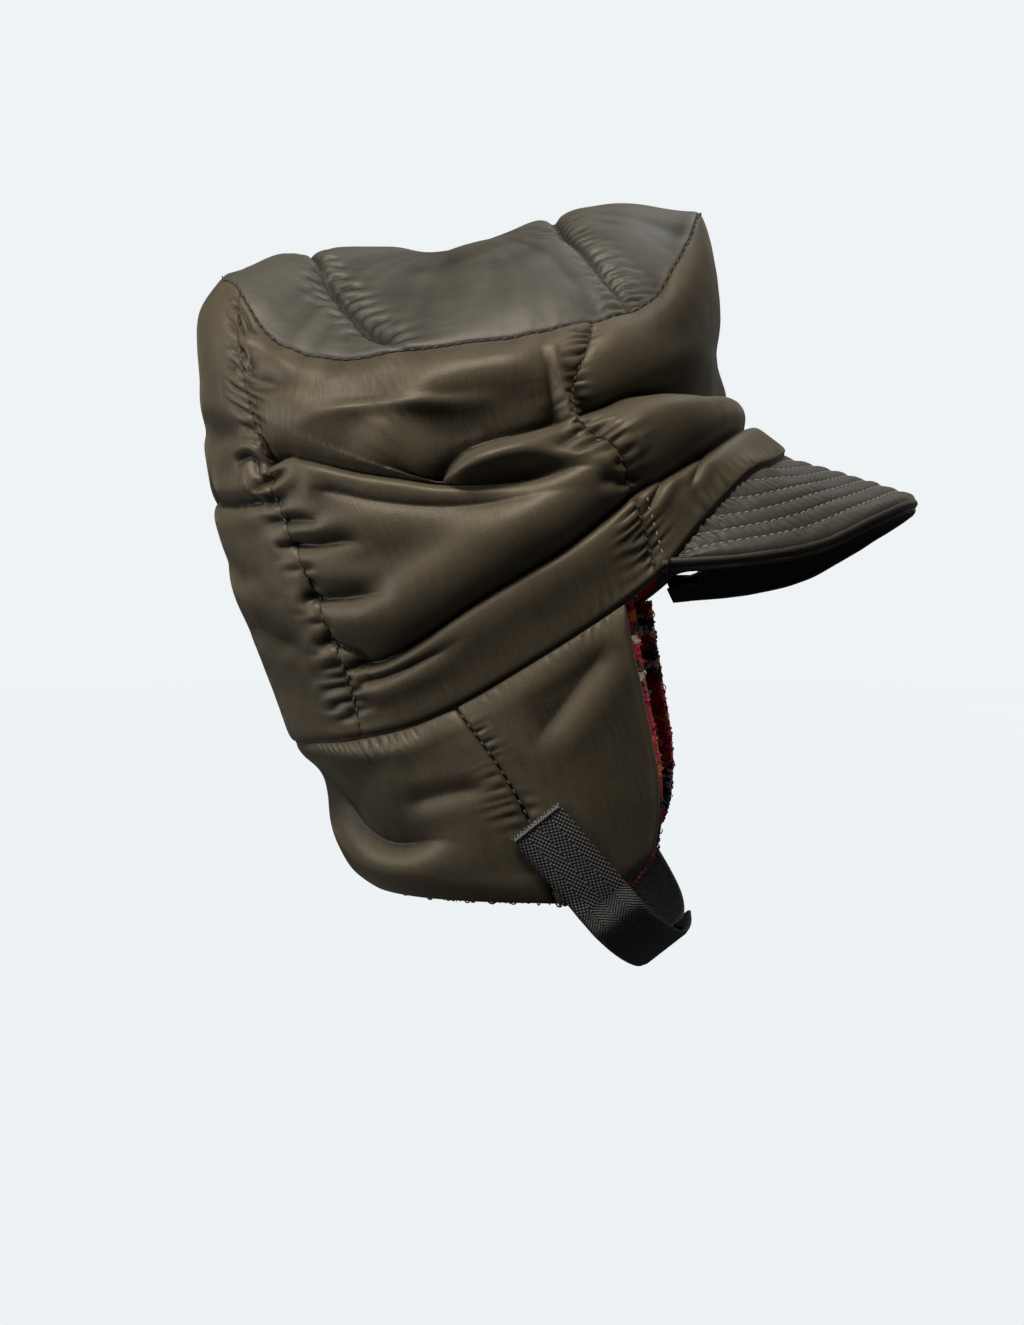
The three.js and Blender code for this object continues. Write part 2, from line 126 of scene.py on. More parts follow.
def makeMesh(name, points, faces, material, uv=None, faceMaterials=None):
    mesh = bpy.data.meshes.new(name)
    mesh.from_pydata((np.asarray(points) * mm).tolist(), [], [[int(k) for k in face] for face in faces])
    mesh.polygons.foreach_set("use_smooth", np.ones(len(mesh.polygons), bool))
    if uv is not None:
        layer = mesh.uv_layers.new(name="UVMap")
        corner = np.zeros(len(mesh.loops), np.int32)
        mesh.loops.foreach_get("vertex_index", corner)
        layer.data.foreach_set("uv", np.asarray(uv, float)[corner].ravel().astype(np.float32))
    for each in material if isinstance(material, list) else [material]:
        mesh.materials.append(each)
    if faceMaterials is not None:
        mesh.polygons.foreach_set("material_index", np.asarray(faceMaterials, np.int32))
    mesh.validate()
    mesh.update()
    return added(name, mesh)


def cells(ids):  # the corners of each cell of a grid of point numbers
    return np.stack([ids[:-1, :-1], ids[:-1, 1:], ids[1:, 1:], ids[1:, :-1]], -1).reshape(-1, 4)


def tubeFaces(count, sides):  # the faces of count rings, closed at both ends
    ids = np.arange(count * sides).reshape(count, sides)
    return cells(np.hstack([ids, ids[:, :1]])).tolist() + [ids[0, ::-1].tolist(), ids[-1].tolist()]


def manyTubes(name, points, rings, sides, material, uv=None):  # one after another, each of so many rings
    one = tubeFaces(rings, sides)
    faces = [[first + k for k in face] for first in range(0, len(points), rings * sides) for face in one]
    return makeMesh(name, points, faces, [material], uv)


def rimFaces(fine, coarse, step):  # joins a fine edge to one with a point for every step of its points
    faces = []
    half = math.ceil(step / 2)
    for i in range(len(coarse) - 1):
        faces.append((coarse[i], fine[i * step + half], coarse[i + 1]))
        for k in range(step):
            foot = coarse[i if k < half else i + 1]
            faces.append((foot, fine[i * step + k], fine[i * step + k + 1]))
    return faces


def blurred(field, times):  # averaged with its neighbours in both directions
    for _ in range(times):
        for axis in (0, 1):
            field = np.moveaxis(field, axis, 0)
            ends = extended(field)
            field = np.moveaxis((ends[:-2] + 2 * field + ends[2:]) / 4, 0, axis)
    return field


# Settings of a painted shade and highlight for the nylon's colour: darker in creases and along seams, lighter on top of
# ridges
hollowShade = {"near": 8, "broad": 10, "every": 3, "nearDepth": 0.4, "broadDepth": 1.7, "edge": 0.5, "edgeReach": 1.4}


def creaseShadeAndRidgeHighlight(points):  # 1 deep in a crease or a seam, below 0 on top of a ridge
    normal, every = gridNormals(points), hollowShade["every"]
    near = blurred(points, hollowShade["near"])
    fine = ((near - points) * normal).sum(-1) / hollowShade["nearDepth"]
    few = near[::every, ::every]
    broad = ((blurred(few, hollowShade["broad"]) - few) * normal[::every, ::every]).sum(-1)
    broad = blurred(broad.repeat(every, 0).repeat(every, 1)[: len(points), : points.shape[1]], every)
    # painted shade along the piece's edges, where it is sewn
    edge = hollowShade["edge"] * np.exp(-np.minimum.reduce(edgeWays(points)) / hollowShade["edgeReach"])
    return np.clip(fine + broad / hollowShade["broadDepth"] + edge, -0.6, 1)


def closedPad(name, outer, inner, materials, uv):  # a fine outer face and a coarser inner one, joined at their rims
    rows, columns = outer.shape[0] - 1, outer.shape[1] - 1
    rowStep, columnStep = rows // (inner.shape[0] - 1), columns // (inner.shape[1] - 1)
    front = np.arange((rows + 1) * (columns + 1)).reshape(rows + 1, columns + 1)
    back = front.size + np.arange(inner.shape[0] * inner.shape[1]).reshape(inner.shape[:2])
    faces = cells(front)[:, [0, 3, 2, 1]].tolist() + cells(back).tolist()
    rims = rimFaces(front[0], back[0], columnStep) + rimFaces(front[-1, ::-1], back[-1, ::-1], columnStep)
    rims += rimFaces(front[::-1, 0], back[::-1, 0], rowStep) + rimFaces(front[:, -1], back[:, -1], rowStep)
    points = np.concatenate([outer.reshape(-1, 3), inner.reshape(-1, 3)])
    allUv = np.concatenate([uv.reshape(-1, 2), uv[::rowStep, ::columnStep].reshape(-1, 2)])
    kinds = np.zeros(len(faces) + len(rims), int)
    kinds[rows * columns : len(faces)] = len(materials) - 1
    piece = makeMesh(name, points, faces + rims, materials, allUv, kinds)
    # the painted shade and highlight of the outer face, kept for the nylon's base colour
    paintedShadeAndHighlight = np.zeros(len(points), np.float32)
    paintedShadeAndHighlight[: front.size] = creaseShadeAndRidgeHighlight(outer).ravel()
    piece.data.attributes.new("painted_shade_and_highlight", "FLOAT", "POINT").data.foreach_set("value", paintedShadeAndHighlight)
    return piece


def clothUv(points):  # hundreds of millimetres along and up the cloth
    along = lengths(points, 1)
    up = lengths(points, 0)
    return np.stack([(along - along[:, -1:] / 2) / 100, up / 100], -1)


# Cloth that is longer than the seams it is sewn into, settled over its padding

def pull(a, b, rest, firm):
    gap = b - a
    length = np.sqrt((gap**2).sum(-1))
    move = gap * (0.5 * firm * (1 - rest / np.maximum(length, 1e-6)))[..., None]
    a += move
    b -= move


def pairs(points):  # the grid's neighbours, in sets that share no point
    for grid in (points, points.swapaxes(0, 1)):
        for first in (0, 1):
            a, b = grid[first::2], grid[first + 1 :: 2]
            yield a[: len(b)], b[: len(a)]
    for first in (0, 1):
        a, b = points[first:-1:2, :-1], points[first + 1 :: 2, 1:]
        c, d = points[first:-1:2, 1:], points[first + 1 :: 2, :-1]
        n = min(len(a), len(b))
        yield a[:n], b[:n]
        yield c[:n], d[:n]


def zeroAtEdges(field):
    field[0] = field[-1] = field[:, 0] = field[:, -1] = 0
    return field


def bendOf(field):  # how far the mean of each point's neighbours lies from it
    out = -field.copy()
    out[1:-1, 1:-1] += (field[:-2, 1:-1] + field[2:, 1:-1] + field[1:-1, :-2] + field[1:-1, 2:]) / 4
    return zeroAtEdges(out)


settling = {"uneven": 0.12, "straight": 1, "diagonal": 0.35, "sideways": 0.03}


def settle(points, slackAlong, slackUp, free, spec, seed):
    normal = gridNormals(points)
    slacks = [list(pairs(s[..., None])) for s in (slackUp, slackAlong, (slackUp + slackAlong) / 2)]
    rests = []
    for k, (a, b) in enumerate(pairs(points)):  # two sets up the grid, two along it, then four of diagonals
        slackA, slackB = slacks[min(k // 2, 2)][k]
        rests.append(np.linalg.norm(b - a, axis=-1) * (1 + (slackA + slackB)[..., 0] / 2))
    uneven = np.random.default_rng(seed).uniform(-settling["uneven"], settling["uneven"], points.shape[:2] + (1,))
    cloth = points + normal * uneven
    for _ in range(spec["rounds"]):
        for k, ((a, b), rest) in enumerate(zip(pairs(cloth), rests)):
            pull(a, b, rest, settling["straight" if k < 4 else "diagonal"])
        shift = cloth - points
        away = (shift * normal).sum(-1, keepdims=True) * normal
        shift -= spec["bed"] * away + settling["sideways"] * (shift - away)
        shift += spec["puff"] * normal
        shift -= spec["stiff"] * bendOf(bendOf(shift))
        cloth = points + shift * free[..., None]
    return cloth


def edgeWays(points):  # how far each point is from the grid's four edges
    along, up = lengths(points, 1), lengths(points, 0)
    return along, along[:, -1:] - along, up, up[-1:] - up


def finer(field, axis):  # twice as many steps along an axis, on a smooth curve
    field = np.moveaxis(field, axis, 0)
    ends = extended(field)
    out = np.empty((2 * len(field) - 1,) + field.shape[1:])
    out[::2] = field
    out[1::2] = (9 * (ends[1:-2] + ends[2:-1]) - ends[:-3] - ends[3:]) / 16
    return np.moveaxis(out, 0, axis)


def settled(points, along, up, free, spec, seed):
    step = spec["step"]  # 2 settles every other point, for puckers twice as wide
    base = points[::step, ::step]
    slack = [np.maximum(field[::step, ::step], 0) for field in (along, up)]
    shift = settle(base, *slack, free[::step, ::step], spec, seed) - base
    for axis in (0, 1) if step == 2 else ():
        shift = finer(shift, axis)
    return points + shift


def evenSlack(points, spec, seed):
    return spec["slack"] * (1 + 0.6 * noiseAt(points, 30, seed))


def gathered(points, sides, ends, seed, spec):  # gathers (strength, reach) at the edge columns and the edge rows
    patchy = np.clip(0.85 + noiseAt(points, 14, seed), 0.35, 2)
    far = 1 + 0.8 * noiseAt(points, 10, seed + 2)
    up, along = (
        sum(strength * np.exp(-way / (reach * far)) for (strength, reach), way in zip(edges, ways)) * patchy
        for edges, ways in ((sides, edgeWays(points)[:2]), (ends, edgeWays(points)[2:]))
    )
    calm = evenSlack(points, spec, seed + 1)
    free = zeroAtEdges(np.ones(points.shape[:2]))
    return settled(points, along + calm * spec["lengthwise"], up + calm, free, spec, seed)


def wobbles(points, rows):  # soft bumps: a height, a size and a seed for each field
    return sum(height * noiseAt(points, size, seed) for height, size, seed in rows)


# Crown: angle 0 is the front, 90 the cap's right side, 180 the back. Rise is 0 at the head seam and 1 at the top's.

crown = {
    "wall": 8, "headWall": 5, "ovalPower": 2.6, "padding": 3.4, "wobbles": ((0.18, 7, 3), (0.9, 30, 4)),
    "seamDip": 2, "seamReach": 5.5, "perDegree": 1.75,  # millimetres round the crown
    "cell": 1, "step": 2,
    "seamGather": 0.24, "headGather": 0.05, "topGather": 0.02, "gatherReach": 7,
    "rounds": 150, "bed": 0.02, "stiff": 0.07, "puff": 0.004, "slack": 0.003, "lengthwise": 0.4,
}
crownLevels = table("rise forward up halfLength pitch halfWidth rightDrop leftDrop frontSeam rearSeam", [
    (0, 0, 1, 119, 30.5, 88, 27, 26, 65.2, 120),
    (0.2, -12.5, 22, 110.6, 25.3, 92, 23, 22, 60.4, 117.8),
    (0.4, -22, 44, 109, 19.2, 95, 18, 17, 58.8, 118.1),
    (0.58, -31, 74, 105, 13, 95, 24, 22, 63.1, 120.8),
    (0.75, -32.5, 102, 106, 8.8, 94, 32, 29, 64.9, 125.8),
    (0.9, -34, 130, 105.9, 7.4, 91, 43, 39, 60.6, 130),
    (1, -32.2, 146.5, 100, 7.2, 84, 50, 46, 58.8, 140),
])
seamDrops = table("angle head top", [
    (-20, 0.1, 0.36), (0, 0, 0), (20, 0.1, 0.36), (36, 0.1, 0.76), (52, 0.41, 0.96), (66, 0.85, 1.01),
    (90, 1.03, 1.03), (105, 0.94, 1), (124, 0.58, 0.77), (145, 0.2, 0.22), (180, -0.05, 0.02), (215, 0.2, 0.22),
])
# A fold's line runs from the rear to the front through points of the side view (forward, up), on the right side (-1)
# or the left one. The cloth sinks in by depth along it, over a crease so wide above and so wide below, bluntly or not.
# It swells above and below the line (height, distance, width), hangs over it by lip, and fades over its two ends.
crownFolds = table("side depth crease above below lip ends blunt line", [
    (-1, 8, (9, 2), (5.4, 13, 10), (0.5, 5, 5), 6, (0.05, 0.3), 1,
     [(-98, 53), (-92.8, 54.4), (-85.9, 56.6), (-80.4, 55.5), (-61.4, 51), (-44, 48.2), (-27.7, 45.7), (-12, 45.5),
      (6, 46.5), (22, 49), (35, 50)]),
    (-1, 10.5, (14, 1.7), (3, 24, 8), (2.5, 4, 4), 4, (0.08, 0.1), 1,
     [(-29, 48), (-26.5, 53.5), (-18.9, 58.6), (-10.4, 61), (0.9, 63.4), (11.5, 65.5), (21, 67.6)]),
    (-1, 0, (1, 1), (3.4, 0, 3.4), (0, 1, 1), 0, (0.05, 0.3), 1,
     [(-25.7, 50), (-15.6, 54.7), (-2.7, 56.7), (10, 56.3), (22.7, 53.3), (31.3, 48.8)]),
    (-1, 0, (1, 1), (1.7, 0, 2.4), (-1.5, 7, 6), 0, (0.3, 0.4), 1,
     [(-92, 68.5), (-70.5, 70.8), (-53.5, 72.2), (-27.6, 73.9), (-12.1, 75.7), (-0.5, 78.4)]),
    (-1, 2.4, (7, 3.5), (0, 1, 1), (1, 8, 7), 0.5, (0.12, 0.35), 1,
     [(-78.4, 42.5), (-65.5, 40.2), (-49.9, 36.9), (-31, 35), (-11.9, 35.5), (6.6, 38.8), (22.7, 42.8),
      (35.4, 46.8)]),
    (-1, 1.8, (2.5, 2), (0.8, 5, 4), (0, 1, 1), 0, (0.25, 0.3), 1,
     [(27, 64.4), (31.6, 59.1), (38.3, 53.5), (44.1, 48.8)]),
    (-1, 9, (10, 1.8), (2, 14, 8), (3.5, 10, 8), 4.5, (0.08, 0.2), 1,
     [(22, 68), (31.8, 72.7), (40.6, 77.7), (51.6, 80.1), (64.4, 79.7), (73.5, 82.2), (90, 86), (112, 90)]),
    (-1, 7, (9, 1.7), (6, 15, 10), (1, 8, 8), 6, (0.1, 0.1), 1,
     [(-66.2, -27.8), (-58.8, -24.7), (-47.4, -20), (-33.5, -11.6), (-16, -0.2), (-1.5, 8.7), (17.5, 20.2),
      (32.2, 31.3), (46.6, 43.5), (57.3, 49.5), (68.6, 56.5), (79.9, 65.3), (90, 73.5), (112, 92)]),
    (-1, 2.8, (3, 1.5), (0.8, 4, 3), (1.6, 5, 5), 0.8, (0.2, 0.5), 1,
     [(-61, -31.5), (-51.9, -29.9), (-41.6, -26), (-28.3, -19.2), (-14, -11)]),
    (-1, 2, (3, 1.5), (0.6, 4, 3), (0.8, 4, 4), 0, (0.3, 0.3), 1,
     [(28.4, 44.8), (33.8, 48), (39.8, 49.5), (46.5, 51.2)]),
    (-1, 0, (1, 1), (2.6, 0, 4), (-1.6, 9, 5), -2, (0.2, 0.4), 1,
     [(-112, 97), (-104, 101), (-96, 96), (-86, 90), (-66, 88)]),
    (-1, 3.4, (6, 1.6), (1.6, 8, 5), (1, 5, 5), 2, (0.05, 0.2), 1,
     [(-131, 41.6), (-116.3, 38), (-104.1, 37.6), (-95, 37.6)]),
    (-1, 3, (3, 1.5), (1.5, 4, 3), (1.6, 4, 3), 0.5, (0.2, 0.3), 1, [(-110, 52), (-103, 55), (-97, 47), (-88, 49)]),
    (-1, 2.6, (2.2, 1.4), (1.8, 3.5, 3), (1.5, 3.5, 3), 0.5, (0.2, 0.4), 1,
     [(-101, 43.5), (-92.3, 45.7), (-83.4, 52)]),
    (-1, 3.6, (5, 1.8), (1.4, 7, 4), (1, 6, 5), 0.8, (0.1, 0.6), 1,
     [(-87, 21), (-77, 20.8), (-69.6, 21.3), (-61.5, 21.9), (-52, 20)]),
    (-1, 2, (3, 1.6), (0.8, 4, 3), (0.8, 4, 3), 0.4, (0.1, 0.6), 1, [(-88, 31), (-77.8, 30.7), (-69.4, 29.9)]),
    (-1, 4, (6, 2), (1.4, 9, 5), (1.2, 7, 5), 0.8, (0.1, 0.6), 1,
     [(-82, 0.5), (-64.4, 0.9), (-52.2, 2.6), (-38, 4.1)]),
    (-1, 2.4, (3.5, 1.5), (0.8, 5, 4), (0.8, 4, 4), 0.4, (0.1, 0.6), 1, [(-75, -15), (-63.5, -18.5), (-54.5, -19.4)]),
    (-1, 2.2, (1.6, 1.4), (1.4, 3, 3), (1.4, 3, 3), 0, (0.4, 0.15), 1, [(47, 30), (50, 37), (54, 46), (58, 52)]),
    (-1, 1.6, (1.6, 1.4), (1, 3, 3), (1, 3, 3), 0, (0.4, 0.15), 1, [(63, 40), (66, 48), (70, 58)]),
    (-1, 1.8, (8, 5), (0.8, 10, 7), (0.6, 8, 6), 0, (0.35, 0.35), 1.5,
     [(-140, 66), (-128, 70), (-116, 66), (-104, 70)]),
    (-1, 1.4, (9, 5), (0.5, 11, 7), (0.4, 8, 6), 0, (0.4, 0.4), 1.5, [(-134, 14), (-122, 16), (-108, 10), (-94, 12)]),
    (-1, 1.2, (8, 5), (0.4, 10, 7), (0.3, 8, 6), 0, (0.4, 0.4), 1.5,
     [(-120, -14), (-106, -10), (-90, -16), (-80, -14)]),
    (1, 2.6, (8, 4), (1, 10, 7), (0.8, 8, 6), 0.5, (0.35, 0.2), 1.5, [(-138, 58), (-124, 62), (-108, 58), (-96, 62)]),
    (1, 2.6, (8, 4), (1, 10, 7), (0.8, 8, 6), 0.5, (0.35, 0.2), 1.5, [(-126, 2), (-112, 6), (-98, 0), (-86, 2)]),
    (1, 6.5, (8, 2), (5, 14, 9), (0.5, 6, 6), 5, (0.1, 0.25), 1,
     [(-96, 62), (-60, 55), (-30, 56), (0, 66), (28, 84)]),
    (1, 6, (9, 1.8), (5, 15, 10), (1, 8, 8), 5, (0.15, 0.12), 1,
     [(-66, -22), (-30, -2), (10, 24), (50, 47), (84.6, 70), (112, 92)]),
    (1, 6.5, (7, 1.8), (2, 9, 8), (3, 9, 7), 4, (0.15, 0.2), 1,
     [(4, 72), (34, 79), (60.4, 80), (73, 83.4), (112, 90)]),
    (1, 3.4, (6, 2), (1.4, 8, 5), (1.2, 6, 5), 1, (0.2, 0.6), 1, [(-84, 18), (-60, 24), (-36, 22)]),
    (1, 3, (5, 2), (1.4, 8, 5), (1.2, 6, 5), 1, (0.1, 0.6), 1, [(-80, -6), (-62, -4), (-44, -1)]),
    (1, 3.4, (6, 1.8), (1.6, 8, 5), (1.5, 5, 5), 1.5, (0.15, 0.3), 1, [(-126, 34), (-104, 38), (-88, 36)]),
])


def crownOval(angle, rise):
    angle, rise = np.broadcast_arrays(angle, rise)
    level = lambda name: column(crownLevels, "rise", name, rise)
    cos, sin = np.cos(angle), np.sin(angle)
    along = power(cos, 2 / crown["ovalPower"]) * level("halfLength")
    degrees = np.degrees(np.arccos(np.clip(cos, -1, 1)))
    atHead, atTop = (column(seamDrops, "angle", name, degrees) for name in ("head", "top"))
    hang = mix(atHead, atTop, np.clip(rise, 0, 1))
    drop = np.where(sin > 0, level("rightDrop"), level("leftDrop")) * hang
    pitch = np.radians(level("pitch"))
    across = -power(sin, 2 / crown["ovalPower"]) * level("halfWidth")
    waves = 1.6 * softNoise(4 * cos + 9, 4 * sin + 9, 0, 7) + softNoise(10 * cos + 15, 10 * sin + 15, 0, 8)
    waves = waves * smooth((rise - 0.8) / 0.2)
    return place(across, level("forward") + along * np.cos(pitch), level("up") + along * np.sin(pitch) - drop + waves)


def crownNormal(angle, rise):
    rise = np.clip(rise, 0.02, 0.985)
    alongAngle = crownOval(angle - 0.02, rise) - crownOval(angle + 0.02, rise)
    return unit(np.cross(alongAngle, crownOval(angle, rise + 0.015) - crownOval(angle, rise - 0.015)))


def smoothLine(points, parts=6):  # more points on a smooth line through these
    points = np.array(points, float)
    ends = extended(points)
    t = np.arange(parts)[:, None] / parts
    out = []
    for a, b, c, d in zip(ends, ends[1:], ends[2:], ends[3:]):
        out.append(0.5 * (2 * b + (c - a) * t + (2 * a - 5 * b + 4 * c - d) * t**2 + (3 * b - a - 3 * c + d) * t**3))
    return np.vstack(out + [points[-1:]])


def foldShift(point, folds):  # how far the folds push the cloth out and down
    flat = point.reshape(-1, 3)
    spot = np.stack([-flat[:, 1], flat[:, 2]], -1)
    out, down = np.zeros(len(flat)), np.zeros(len(flat))
    for fold in folds:
        line = smoothLine(fold["line"])
        near = np.full(len(flat), 1e9)
        above, at = np.zeros(len(flat)), np.zeros(len(flat))
        for k, (a, b) in enumerate(zip(line, line[1:])):
            run = b - a
            share = np.clip(((spot - a) @ run) / (run @ run), 0, 1)
            away = spot - a - share[:, None] * run
            distance = np.hypot(away[:, 0], away[:, 1])
            closer = distance < near
            near = np.where(closer, distance, near)
            above = np.where(closer, np.sign(run[0] * away[:, 1] - run[1] * away[:, 0]), above)
            at = np.where(closer, (k + share) / (len(line) - 1), at)
        gap = near * above
        start, end = fold["ends"]
        onSide = smooth((flat[:, 0] * fold["side"] + 10) / 24)
        sharp = onSide * smooth(at / start) * smooth((1 - at) / end)
        soft = onSide * smooth(at / max(start, 0.26)) * smooth((1 - at) / max(end, 0.34))
        sunk = near / np.where(above > 0, *fold["crease"])
        out -= sharp * fold["depth"] * np.exp(-(sunk ** fold["blunt"]))
        for sign, (height, distance, width) in ((1, fold["above"]), (-1, fold["below"])):
            out += soft * height * hump(gap - sign * distance, width)
        down += soft * fold["lip"] * hump(gap - 7, 7)
    return out.reshape(point.shape[:-1]), down.reshape(point.shape[:-1])


def seamDegrees(seam, rise):
    return column(crownLevels, "rise", seam, rise)


def crownSurface(angle, rise):
    point = crownOval(angle, rise)
    normal = crownNormal(angle, rise)
    edge = smooth(np.minimum(rise * 7, (1 - rise) * 9))
    out, down = foldShift(point, crownFolds)
    padding = crown["padding"] * np.sqrt(np.sin(np.pi * np.clip(rise, 0, 1)))
    degrees = np.degrees(np.arccos(np.clip(np.cos(angle), -1, 1)))
    for seam in ("frontSeam", "rearSeam"):
        away = np.abs(degrees - seamDegrees(seam, rise)) * crown["perDegree"]
        dip = crown["seamDip"] * np.exp(-away / crown["seamReach"])
        padding = padding - dip * smooth(np.minimum(rise, 1 - rise) * 12)
    point = point + normal * (edge * (out + wobbles(point, crown["wobbles"])) + padding)[..., None]
    point[..., 2] -= edge * down
    return point


def crownPanel(name, fromSeam, toSeam, seed):
    rise = np.linspace(0, 1, 161)[:, None]
    first, last = fromSeam(rise), toSeam(rise)
    width = lengths(crownOval(mix(first, last, np.linspace(0, 1, 200)[None]), rise), 1)[:, -1].max()
    columns = int(round(width / crown["cell"] / 4)) * 4
    share = np.linspace(0, 1, columns + 1)[None]
    angle = mix(first, last, share)
    base = crownSurface(angle, np.broadcast_to(rise, angle.shape))
    seams, head, high = ((crown[edge + "Gather"], crown["gatherReach"]) for edge in ("seam", "head", "top"))
    outer = gathered(base, (seams, seams), (head, high), seed, crown)
    depth = mix(crown["headWall"], crown["wall"], smooth(4 * rise))
    within = mix(first + 0.003, last - 0.003, share)  # a hair clear of its neighbours
    inner = crownOval(within, 0.98 * rise) - crownNormal(within, 0.98 * rise) * depth[..., None]
    return closedPad(name, outer, inner[::8, ::4], [nylon, fleece], clothUv(base))


# Top: a square spread over the oval, ahead and aside from -1 to 1

top = {
    "round": 1.9, "lift": 1.1, "rimPuff": 3, "middle": (0, -32.2, 146.5), "wobbles": ((2.4, 34, 24), (1.1, 15, 25)),
    "crossSeams": (-99, 6), "seamBow": 34 / 66**2, "grooves": ((2.76, 2.2), (1.84, 7)),  # (depth, reach)
    "gather": 0.05, "gatherReach": 8, "seamGather": 0.3, "seamReach": 6, "heldReach": 1.5, "step": 1,
    "rounds": 110, "bed": 0.014, "stiff": 0.25, "puff": 0.004, "slack": 0.01, "lengthwise": 1,
}
topSwell = table("forward height", [
    (-130, 3), (-92, 3.5), (-70, 1.5), (-40, 0.5), (-14, 6), (10, 12), (40, 15), (68, 6),
])


def seamAway(point, seam):  # how far a point of the top is from a cross seam
    return np.abs(-point[..., 1] - seam - top["seamBow"] * point[..., 0] ** 2)


def topSurface(ahead, aside, depth):
    x = ahead * np.sqrt(1 - aside**2 / 2)
    y = aside * np.sqrt(1 - ahead**2 / 2)
    share = np.hypot(x, y)
    angle = np.arctan2(y, x)
    edge = crownOval(angle, 1) - crownNormal(angle, 1) * depth
    middle = place(*top["middle"])
    point = mix(middle, edge, share[..., None])
    point[..., 2] = mix(middle[2] - depth, edge[..., 2], share ** top["round"]) + top["lift"] * (1 - share**12)
    if depth:
        return point, None
    inward = 1 - share**3
    forward = -point[..., 1]
    swell = column(topSwell, "forward", "height", np.clip(forward, -130, 68)) * inward
    aways = [seamAway(point, seam) for seam in top["crossSeams"]]
    (sharp, near), (soft, far) = top["grooves"]
    for away in aways:
        swell = swell - (sharp * np.exp(-away / near) + soft * hump(away, far)) * smooth(inward * 3)
    rimPuff = top["rimPuff"] * (np.sqrt(np.clip(1 - share**6, 0, 1)) - (1 - share**6))
    point[..., 2] += swell + rimPuff + wobbles(point, top["wobbles"]) * smooth(inward * 4)
    return point, np.minimum(*aways)


def crownTop():
    ahead, aside = np.meshgrid(np.linspace(-1, 1, 201), np.linspace(1, -1, 173), indexing="ij")
    base, seamWay = topSurface(ahead, aside, 0)
    left, right, low, high = (top["gather"] * np.exp(-way / top["gatherReach"]) for way in edgeWays(base))
    patchy = 0.95 + 0.45 * noiseAt(base, 12, 21)
    calm = evenSlack(base, top, 22)
    up = (left + right) * patchy + calm
    along = (low + high + top["seamGather"] * np.exp(-seamWay / top["seamReach"])) * patchy + calm
    free = zeroAtEdges(1 - 0.97 * hump(seamWay, top["heldReach"]))
    outer = settled(base, along, up, free, top, 23)
    inner, _ = topSurface(ahead[::8, ::4], aside[::8, ::4], crown["wall"])
    # the top's cloth takes the nylon greyed as painted sky light
    return closedPad("crown_top_cloth", outer, inner, [nylonTopPaintedSkyGrey, fleece], base[..., :2] / 100)


# Ear and neck flap: around runs from the right front edge (0) by the back to the left one (1), fall from the head seam

flap = {
    "wall": 5, "bottom": -117, "cornerRise": 9, "cornerShare": 0.12, "earShare": 0.24, "swell": 2.6,
    "seamDip": 1.8, "seamReach": 0.007, "wobbles": ((0.8, 26, 41),),  # the reach is a share of the way around
    "napeGather": (0.15, 6), "earGather": (0.06, 5), "seamGather": (0.1, 5), "hemGather": (0, 1),
    "rounds": 140, "bed": 0.02, "stiff": 0.08, "puff": 0.004, "slack": 0.003, "lengthwise": 1, "step": 2,
}
lining = {"outside": 6, "wall": 4, "shows": 4, "hang": 0.01, "clumps": (1.5, 3.4, 51), "fuzz": ((0.5, 1.9, 52),)}
flapLevels = table("fall forward halfLength halfWidth frontEdge seam", [
    (0, -1, 100, 88, 41, -23), (0.2, 0, 90, 88, 44.5, -14), (0.4, 1, 86, 86, 48.5, -5),
    (0.7, 4, 84, 82, 53.7, 7), (0.9, 6, 81, 78, 51.5, 12), (1, 8, 78, 75, 44, 14),
])


def flapAngle(edge, forward, halfLength):
    cos = np.clip((edge - forward) / halfLength, -1, 1)
    return np.arccos(power(cos, crown["ovalPower"] / 2))


def headSeamUp(forward, side):
    front = crownLevels[0]["halfLength"] * math.cos(math.radians(crownLevels[0]["pitch"]))
    cos = np.clip(forward / np.where(forward < 0, flapLevels[0]["halfLength"], front), -1, 1)
    return crownOval(side * np.arccos(power(cos, crown["ovalPower"] / 2)), np.zeros(np.shape(cos)))[..., 2]


def flapBase(around, fall, past):
    around, fall = np.broadcast_arrays(around, fall)
    level = {name: column(flapLevels, "fall", name, np.clip(fall, 0, 1)) for name in flapLevels[0]}
    first = flapAngle(level["frontEdge"] + past, level["forward"], level["halfLength"])
    seam = flapAngle(level["seam"], level["forward"], level["halfLength"])
    side = np.where(around < 0.5, 1, -1)
    inward = np.where(around < 0.5, around, 1 - around)
    ear = flap["earShare"]
    angle = np.where(inward < ear, mix(first, seam, inward / ear), mix(seam, np.pi, (inward - ear) / (0.5 - ear)))
    low = flap["bottom"] + flap["cornerRise"] * smooth(1 - inward / flap["cornerShare"])
    forward = level["forward"] + power(np.cos(angle), 2 / crown["ovalPower"]) * level["halfLength"]
    across = -side * power(np.sin(angle), 2 / crown["ovalPower"]) * level["halfWidth"]
    return place(across, forward, mix(headSeamUp(forward, side) - 1, low, fall))


def flapNormal(around, fall, past):
    around, fall = np.clip(around, 0.01, 0.99), np.clip(fall, 0.05, 0.95)
    alongU = flapBase(around - 0.008, fall, past) - flapBase(around + 0.008, fall, past)
    normal = np.cross(alongU, flapBase(around, fall - 0.04, past) - flapBase(around, fall + 0.04, past))
    normal[..., 2] = 0
    return unit(normal)


